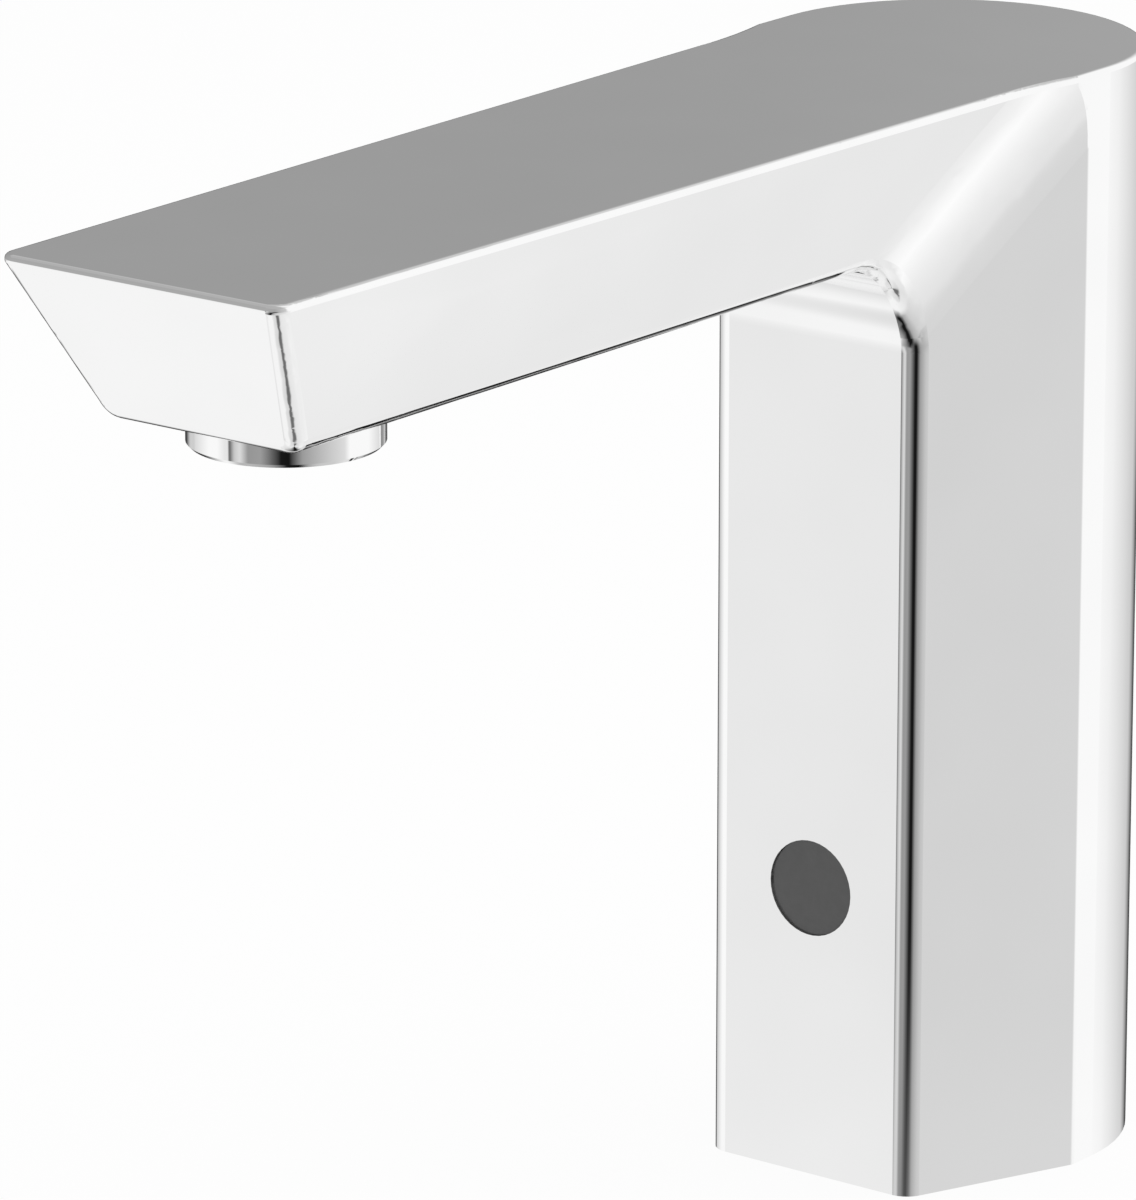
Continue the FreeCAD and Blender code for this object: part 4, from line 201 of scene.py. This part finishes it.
# --- Check valve, disc and aerator insert -----------------------------------------------------
# White acetal, injection moulded. Slightly waxy and see-through at its edges, so light sinks in
# a little before it comes back.
SINK_MARK = 1.2 * MM
acetal, tree, shader, place = material("moulded_white_acetal", IOR=1.48)
shader.inputs["Subsurface Weight"].default_value = 0.1
shader.inputs["Subsurface Radius"].default_value = (1.0 * MM, 1.0 * MM, 0.8 * MM)
cloud = add(tree, "ShaderNodeTexNoise", {"Scale": 1 / SINK_MARK, "Detail": 3.0}, {"Vector": place})
dress(tree, shader, cloud.outputs["Fac"], ("#E2E2DE", "#EBEBE8"), (0.32, 0.44), 0.01 * MM)
finish(
    acetal, "check_valve_sleeve", "check_valve_poppet", "diaphragm_disc", "aerator_insert", "flow_disc"
)

# --- Valve block and bonnet -------------------------------------------------------------------
# Glass-filled polyamide, moulded; the bonnet is screwed down over the diaphragm. Charcoal, with
# paler streaks where the short fibres reach the skin.
FIBRE_LENGTH = 1.5 * MM
polyamide, tree, shader, place = material("glass_filled_polyamide", IOR=1.53)
along = add(tree, "ShaderNodeMapping", {"Scale": (1.0, 1.0, 0.2)}, {"Vector": place})
fibres = add(
    tree,
    "ShaderNodeTexNoise",
    {"Scale": 5 / FIBRE_LENGTH, "Detail": 4.0, "Roughness": 0.7},
    {"Vector": along.outputs["Vector"]},
)
dress(tree, shader, fibres.outputs["Fac"], ("#303032", "#3E3E41"), (0.42, 0.6), 0.02 * MM)
finish(polyamide, "valve_block", "valve_bonnet")

# --- Diaphragm, seat pad and plunger tip ------------------------------------------------------
# Silicone rubber, moulded on a woven cloth that shows through as a fine square weave.
THREAD_SPACING = 0.5 * MM
diaphragm, tree, shader, place = material("cloth_backed_silicone", IOR=1.43)
warp = add(
    tree,
    "ShaderNodeTexWave",
    {"bands_direction": "X", "Scale": LINES_PER_SCALE / THREAD_SPACING, "Distortion": 0.2},
    {"Vector": place},
)
weft = add(
    tree,
    "ShaderNodeTexWave",
    {"bands_direction": "Y", "Scale": LINES_PER_SCALE / THREAD_SPACING, "Distortion": 0.2},
    {"Vector": place},
)
weave = add(
    tree, "ShaderNodeMath", {"operation": "MAXIMUM"}, {0: warp.outputs["Fac"], 1: weft.outputs["Fac"]}
)
dress(tree, shader, weave.outputs[0], ("#26261F", "#34342C"), (0.55, 0.7), 0.02 * MM)
finish(diaphragm, "diaphragm", "diaphragm_pad", "plunger_nose")

# --- Coil: bobbin, winding and yoke -----------------------------------------------------------
# Enamelled copper wire in layers on a moulded black bobbin, inside a yoke bent from zinc-plated
# strip. The wire is drawn twice as thick as it is, so that its turns show.
WIRE_PITCH = 0.4 * MM
copper, tree, shader, place = material("enamelled_copper_wire", Metallic=1.0)
turns = add(
    tree,
    "ShaderNodeTexWave",
    {"bands_direction": "Z", "Scale": LINES_PER_SCALE / WIRE_PITCH, "Distortion": 0.3},
    {"Vector": place},
)
dress(tree, shader, turns.outputs["Fac"], ("#8C4526", "#B8683C"), (0.2, 0.34), 0.1 * MM)
finish(copper, "coil_winding")

FLOW_MARK = 2.5 * MM
polyester, tree, shader, place = material("moulded_black_polyester", IOR=1.57)
flow = add(tree, "ShaderNodeTexNoise", {"Scale": 1 / FLOW_MARK, "Detail": 3.0}, {"Vector": place})
dress(tree, shader, flow.outputs["Fac"], ("#2A2A2B", "#333334"), (0.25, 0.38), 0.01 * MM)
finish(polyester, "coil_bobbin")

SPANGLE = 1.4 * MM
zinc, tree, shader, place = material("zinc_plated_strip", Metallic=1.0)
spangle = add(tree, "ShaderNodeTexVoronoi", {"Scale": 1 / SPANGLE}, {"Vector": place})
dress(tree, shader, spangle.outputs["Distance"], ("#B7BAB4", "#C8CBC6"), (0.26, 0.4), 0.005 * MM)
finish(zinc, "coil_yoke")

# --- Water tube -------------------------------------------------------------------------------
# Cross-linked polyethylene, extruded and pushed into its O-rings. Milky white, with faint lines
# along it from the die.
DIE_LINE = 0.8 * MM
polyethylene, tree, shader, place = material("milky_polyethylene", IOR=1.5)
shader.inputs["Subsurface Weight"].default_value = 0.15
shader.inputs["Subsurface Radius"].default_value = (1.5 * MM, 1.5 * MM, 1.2 * MM)
streak = add(tree, "ShaderNodeTexNoise", {"Scale": 1 / DIE_LINE, "Detail": 2.0}, {"Vector": place})
dress(tree, shader, streak.outputs["Fac"], ("#DADDDD", "#E4E7E7"), (0.3, 0.42), 0.01 * MM)
finish(polyethylene, "water_tube")

# --- Sensor window ----------------------------------------------------------------------------
# Dark polycarbonate that lets infra-red through, pressed from behind against its flat seal. It
# is moulded against a polished face: even charcoal with a clear gloss.
FLOW_CLOUD = 1.5 * MM
window, tree, shader, place = material("dark_filter_polycarbonate", IOR=1.58)
cloud = add(tree, "ShaderNodeTexNoise", {"Scale": 1 / FLOW_CLOUD, "Detail": 4.0}, {"Vector": place})
dress(tree, shader, cloud.outputs["Fac"], ("#535353", "#575757"), (0.08, 0.14), 0.0005 * MM)
finish(window, "sensor_window")

# --- Sensor housing and its two diodes --------------------------------------------------------
# A matt black moulding that keeps stray light out, a clear blue-tinted emitter and a black
# receiver. Both diodes are cast in epoxy, with a wet-looking gloss.
SPARK_TEXTURE = 0.35 * MM
housing, tree, shader, place = material("matt_black_polycarbonate", IOR=1.58)
texture = add(tree, "ShaderNodeTexNoise", {"Scale": 1 / SPARK_TEXTURE, "Detail": 4.0}, {"Vector": place})
dress(tree, shader, texture.outputs["Fac"], ("#1E1E1F", "#272728"), (0.55, 0.68), 0.02 * MM)
finish(housing, "sensor_housing")

CAST_CLOUD = 0.8 * MM
for label, name, colours in (
    ("blue_tinted_epoxy", "ir_emitter", ("#6E7A9E", "#7F8BAE")),
    ("black_filter_epoxy", "ir_receiver", ("#1F1F26", "#282830")),
):
    epoxy, tree, shader, place = material(label, IOR=1.55)
    cloud = add(tree, "ShaderNodeTexNoise", {"Scale": 1 / CAST_CLOUD, "Detail": 2.0}, {"Vector": place})
    dress(tree, shader, cloud.outputs["Fac"], colours, (0.05, 0.12), 0.001 * MM)
    finish(epoxy, name)

# --- Circuit boards and what they carry -------------------------------------------------------
# Glass-epoxy sheet under green lacquer: the copper tracks show as paler lines below the gloss.
# On the boards are a moulded black chip, a sleeved can and ivory nylon plugs.
TRACK_SPACING = 1.6 * MM
board, tree, shader, place = material("green_lacquered_board", IOR=1.52)
tracks = add(
    tree, "ShaderNodeTexVoronoi", {"distance": "CHEBYCHEV", "Scale": 1 / TRACK_SPACING}, {"Vector": place}
)
dress(tree, shader, tracks.outputs["Distance"], ("#1F5B38", "#2F7A4C"), (0.2, 0.3), 0.03 * MM)
finish(board, "control_board", "sensor_board")

FILLER_SPECK = 0.2 * MM
chip, tree, shader, place = material("moulded_chip_epoxy", IOR=1.55)
speckle = add(tree, "ShaderNodeTexNoise", {"Scale": 1 / FILLER_SPECK, "Detail": 3.0}, {"Vector": place})
dress(tree, shader, speckle.outputs["Fac"], ("#232323", "#2E2E2E"), (0.5, 0.62), 0.01 * MM)
finish(chip, "board_chip")

BRUSH_LINE = 0.3 * MM
can, tree, shader, place = material("brushed_aluminium_can", Metallic=1.0)
brushing = add(
    tree,
    "ShaderNodeTexWave",
    {"bands_direction": "Z", "Scale": LINES_PER_SCALE / BRUSH_LINE, "Distortion": 1.0},
    {"Vector": place},
)
dress(tree, shader, brushing.outputs["Fac"], ("#C4C5C8", "#D4D5D8"), (0.28, 0.4), 0.005 * MM)
finish(can, "board_capacitor")

MOULD_CLOUD = 0.9 * MM
nylon, tree, shader, place = material("ivory_nylon", IOR=1.53)
cloud = add(tree, "ShaderNodeTexNoise", {"Scale": 1 / MOULD_CLOUD, "Detail": 3.0}, {"Vector": place})
dress(tree, shader, cloud.outputs["Fac"], ("#E3DDC8", "#ECE7D6"), (0.3, 0.42), 0.01 * MM)
finish(nylon, "board_plugs")

# --- Upright, battery case and lid ------------------------------------------------------------
# Grey ABS with the light spark-eroded grain of its mould. The upright is screwed to the foot
# plate; the case is pegged to its shelf and the lid pressed into the case.
EROSION_GRAIN = 0.5 * MM
abs_plastic, tree, shader, place = material("grained_grey_abs", IOR=1.54)
grain = add(tree, "ShaderNodeTexNoise", {"Scale": 1 / EROSION_GRAIN, "Detail": 3.0}, {"Vector": place})
dress(tree, shader, grain.outputs["Fac"], ("#777A7D", "#83868A"), (0.45, 0.58), 0.03 * MM)
finish(abs_plastic, "electronics_frame", "battery_case", "battery_lid")

# --- Battery and its contacts -----------------------------------------------------------------
# A cell block in a blue sleeve that was shrunk on with heat, so it is glossy and slightly
# puckered, between contacts of nickel-plated spring strip.
PUCKER = 4 * MM
sleeve, tree, shader, place = material("shrunk_blue_sleeve", IOR=1.54)
pucker = add(tree, "ShaderNodeTexNoise", {"Scale": 1 / PUCKER, "Detail": 2.0}, {"Vector": place})
dress(tree, shader, pucker.outputs["Fac"], ("#3C537F", "#455E8E"), (0.16, 0.28), 0.1 * MM)
finish(sleeve, "battery")

ROLLING_MARK = 0.25 * MM
nickel, tree, shader, place = material("nickel_plated_strip", Metallic=1.0)
rolling = add(
    tree,
    "ShaderNodeTexWave",
    {"bands_direction": "X", "Scale": LINES_PER_SCALE / ROLLING_MARK, "Distortion": 1.5},
    {"Vector": place},
)
dress(tree, shader, rolling.outputs["Fac"], ("#C9C5B8", "#D8D4C8"), (0.2, 0.32), 0.004 * MM)
finish(nickel, "battery_contacts")

# --- Leads ------------------------------------------------------------------------------------
# Twin wires in a soft black PVC sheath, which runs from plug to plug. Satin, with the faint
# grip marks of the extruder.
GRIP_MARK = 0.5 * MM
sheath, tree, shader, place = material("soft_pvc_sheath", IOR=1.53)
marks = add(tree, "ShaderNodeTexNoise", {"Scale": 1 / GRIP_MARK, "Detail": 2.0}, {"Vector": place})
dress(tree, shader, marks.outputs["Fac"], ("#262626", "#303030"), (0.4, 0.52), 0.01 * MM)
finish(sheath, "battery_lead", "sensor_lead", "coil_lead")

# --- Table ------------------------------------------------------------------------------------
# A wide sheet of matt white card. It looks white to the camera and keeps the tap's soft shadow.
# The metal sees the room's own pale lower half through it, and from below it is clear.
TABLE_HALF = 3.0
CAMERA_GLOW = 0.95
table_mesh = bpy.data.meshes.new("table")
corners = [(x * TABLE_HALF, y * TABLE_HALF, 0) for x, y in ((-1, -1), (1, -1), (1, 1), (-1, 1))]
table_mesh.from_pydata(corners, [], [(0, 1, 2, 3)])
table = bpy.data.objects.new("table", table_mesh)
bpy.context.scene.collection.objects.link(table)
card = bpy.data.materials.new("matt_white_card")
card.use_nodes = True
tree = card.node_tree
tree.nodes.clear()
matt = add(tree, "ShaderNodeBsdfDiffuse", {"Color": linear("#F4F4F4")})
glow = add(tree, "ShaderNodeEmission", {"Color": linear("#FFFFFF"), "Strength": 1.0})
clear = add(tree, "ShaderNodeBsdfTransparent")
ray = add(tree, "ShaderNodeLightPath")
mirrored = add(
    tree,
    "ShaderNodeMath",
    {"operation": "MAXIMUM"},
    {0: ray.outputs["Is Glossy Ray"], 1: ray.outputs["Is Transmission Ray"]},
)
share = add(
    tree, "ShaderNodeMath", {"operation": "MULTIPLY", 1: CAMERA_GLOW}, {0: ray.outputs["Is Camera Ray"]}
)
lit = add(tree, "ShaderNodeMixShader", links={0: share.outputs[0], 1: matt.outputs[0], 2: glow.outputs[0]})
side = add(tree, "ShaderNodeNewGeometry")
left_out = add(
    tree, "ShaderNodeMath", {"operation": "MAXIMUM"}, {0: mirrored.outputs[0], 1: side.outputs["Backfacing"]}
)
either = add(
    tree, "ShaderNodeMixShader", links={0: left_out.outputs[0], 1: lit.outputs[0], 2: clear.outputs[0]}
)
add(tree, "ShaderNodeOutputMaterial", links={"Surface": either.outputs[0]})
table_mesh.materials.append(card)


# --- Room and lamp ----------------------------------------------------------------------------
# What stands round a photographer's table, as greys by direction: a white screen behind on the
# right, dark gaps beside it and in front, grey walls above, the pale table top below, and a dark
# panel behind the tap that draws its thin dark outlines. One wide soft lamp hangs above.
FULL_TURN = 360


def around(*greys):
    """Greys round the room as colour band stops, from degrees (+X towards +Y) and sRGB greys."""
    return [((degrees + FULL_TURN / 2) / FULL_TURN, "#" + "%02X" % grey * 3) for degrees, grey in greys]


def between(measure, low, high, first, second):
    """Blend from the first grey to the second, each a hex value or a socket, as a measure rises."""
    rise = add(
        tree,
        "ShaderNodeMapRange",
        {"interpolation_type": "SMOOTHSTEP", "From Min": low, "From Max": high},
        {"Value": measure},
    )
    blend = add(tree, "ShaderNodeMix", {"data_type": "RGBA"}, {"Factor": rise.outputs["Result"]})
    for socket, grey in ((blend.inputs[6], first), (blend.inputs[7], second)):
        if isinstance(grey, str):
            socket.default_value = linear(grey)
        else:
            tree.links.new(grey, socket)
    return blend.outputs[2]


world = bpy.data.worlds.new("photographers_room")
bpy.context.scene.world = world
world.use_nodes = True
tree = world.node_tree
tree.nodes.clear()
way = add(tree, "ShaderNodeTexCoord").outputs["Generated"]
turn = add(tree, "ShaderNodeTexGradient", {"gradient_type": "RADIAL"}, {"Vector": way}).outputs["Fac"]
split = add(tree, "ShaderNodeSeparateXYZ", links={"Vector": way})
radians = add(tree, "ShaderNodeMath", {"operation": "ARCSINE"}, {0: split.outputs["Z"]})
height = add(tree, "ShaderNodeMath", {"operation": "DEGREES"}, {0: radians.outputs[0]}).outputs[0]

# The table's greys lean: they stand as listed at one height and shift round the room below it, by
# so many degrees for each degree down.
LEAN = 1.23
UPRIGHT_HEIGHT = -23
tilted = add(
    tree,
    "ShaderNodeMath",
    {"operation": "MULTIPLY_ADD", 1: -LEAN / FULL_TURN, 2: LEAN * UPRIGHT_HEIGHT / FULL_TURN},
    {0: height},
)
turned = add(tree, "ShaderNodeMath", {"operation": "ADD"}, {0: turn, 1: tilted.outputs[0]})
leaning = add(tree, "ShaderNodeMath", {"operation": "FRACT"}, {0: turned.outputs[0]}).outputs[0]

# The room from straight below upwards: between which heights, in degrees, each band takes over
# from the one before it, and its greys.
bands = {
    "straight_down": (
        None,
        around(
            (-180, 235), (-72, 215), (-50, 110), (-16, 110), (4, 215), (60, 235), (88, 200), (108, 25),
            (130, 20), (145, 130), (165, 195), (180, 235),
        ),
    ),
    "table_foot": (
        (-76, -70),
        around(
            (-180, 215), (-150, 245), (-120, 245), (-10, 225), (80, 245), (98, 200), (112, 20), (127, 20),
            (145, 140), (180, 215),
        ),
    ),
    "table": (
        (-60, -50),
        around(
            (-180, 245), (-120, 245), (-109, 180), (-92, 115), (-80, 20), (-70, 25), (-62, 110), (-53, 165),
            (-26, 205), (8, 220), (40, 238), (60, 253), (72, 244), (83, 232), (110, 235), (125, 215),
            (160, 245),
        ),
    ),
    "table_far": (
        (-23, -18),
        around(
            (-180, 215), (-150, 250), (-136, 250), (-125, 230), (-121, 230), (-119, 70), (-112, 200),
            (-105, 220), (-95, 150), (-80, 155), (-66, 95), (-57, 25), (-47, 20), (-41, 95), (-32, 155),
            (0, 200), (20, 220), (27, 250), (58, 250), (70, 235), (95, 205), (174, 205),
        ),
    ),
    "wall": (
        (-13, -7),
        around(
            (-180, 160), (-120, 170), (-60, 165), (10, 200), (22, 250), (90, 250), (108, 205), (118, 175),
            (127, 155), (150, 152), (180, 160),
        ),
    ),
    "roof": (
        (36, 42),
        around((-180, 175), (0, 180), (50, 250), (80, 210), (100, 195), (150, 185), (180, 175)),
    ),
}
room = None
for name, (heights, band) in bands.items():
    ramp = add(tree, "ShaderNodeValToRGB", {"band": band}, {"Fac": leaning if name == "table" else turn})
    greys = ramp.outputs["Color"]
    room = between(height, *heights, room, greys) if heights else greys

# The dark panel: which way it stands from the tap, and how far it reaches from its middle.
PANEL_WAY = (-0.632, 0.678, -0.375)
PANEL_REACH = math.radians(12), math.radians(35)
toward = add(tree, "ShaderNodeVectorMath", {"operation": "DOT_PRODUCT", 1: PANEL_WAY}, {0: way})
full, gone = (math.cos(reach) for reach in PANEL_REACH)
room = between(toward.outputs["Value"], gone, full, room, "#303030")

# The plate gives back this share of the light that it mirrors, so the room is as much brighter.
PLATE_SHARE = 0.955
ray = add(tree, "ShaderNodeLightPath")
plain = add(tree, "ShaderNodeBackground", {"Color": linear("#FFFFFF"), "Strength": 1.0})
pictured = add(tree, "ShaderNodeBackground", {"Strength": 1 / PLATE_SHARE}, {"Color": room})
mix = add(
    tree,
    "ShaderNodeMixShader",
    links={0: ray.outputs["Is Camera Ray"], 1: pictured.outputs[0], 2: plain.outputs[0]},
)
add(tree, "ShaderNodeOutputWorld", links={"Surface": mix.outputs[0]})

SOFTBOX_SIDE = 1.2
SOFTBOX_WATTS = 6
SOFTBOX_HEIGHT = 1.1
softbox = bpy.data.lights.new("overhead_softbox", "AREA")
softbox.shape = "SQUARE"
softbox.size = SOFTBOX_SIDE
softbox.energy = SOFTBOX_WATTS
lamp = bpy.data.objects.new("overhead_softbox", softbox)
lamp.location = (0.0, 0.0, SOFTBOX_HEIGHT)
lamp.visible_glossy = False
bpy.context.scene.collection.objects.link(lamp)

# --- Camera -----------------------------------------------------------------------------------
# A long lens from the front right, a little above the tap, as in the photograph. It looks at the
# middle of the tap, stepped aside and up until the tap fills the frame as it does there.
TURN = math.radians(37.827)
TILT = math.radians(16.172)
DISTANCE = 1200 * MM
FOCAL_PIXELS = 8770.3
FRAME_HEIGHT = 1200
SENSOR_SIDE = 36
MIDDLE = Vector((0, -71 * MM, 80 * MM))
SIDE_STEP = -9.755 * MM
RISE = 13.822 * MM
back = Vector((math.sin(TURN) * math.cos(TILT), -math.cos(TURN) * math.cos(TILT), math.sin(TILT)))
right = Vector((math.cos(TURN), math.sin(TURN), 0))
up = back.cross(right)
aim = MIDDLE + SIDE_STEP * right + RISE * up
lens = bpy.data.cameras.new("camera")
lens.sensor_width = SENSOR_SIDE
lens.lens = FOCAL_PIXELS * SENSOR_SIDE / FRAME_HEIGHT
camera = bpy.data.objects.new("camera", lens)
camera.location = aim + back * DISTANCE
camera.rotation_euler = (-back).to_track_quat("-Z", "Y").to_euler()
bpy.context.scene.collection.objects.link(camera)
bpy.context.scene.camera = camera
bpy.context.scene.view_settings.view_transform = "Standard"
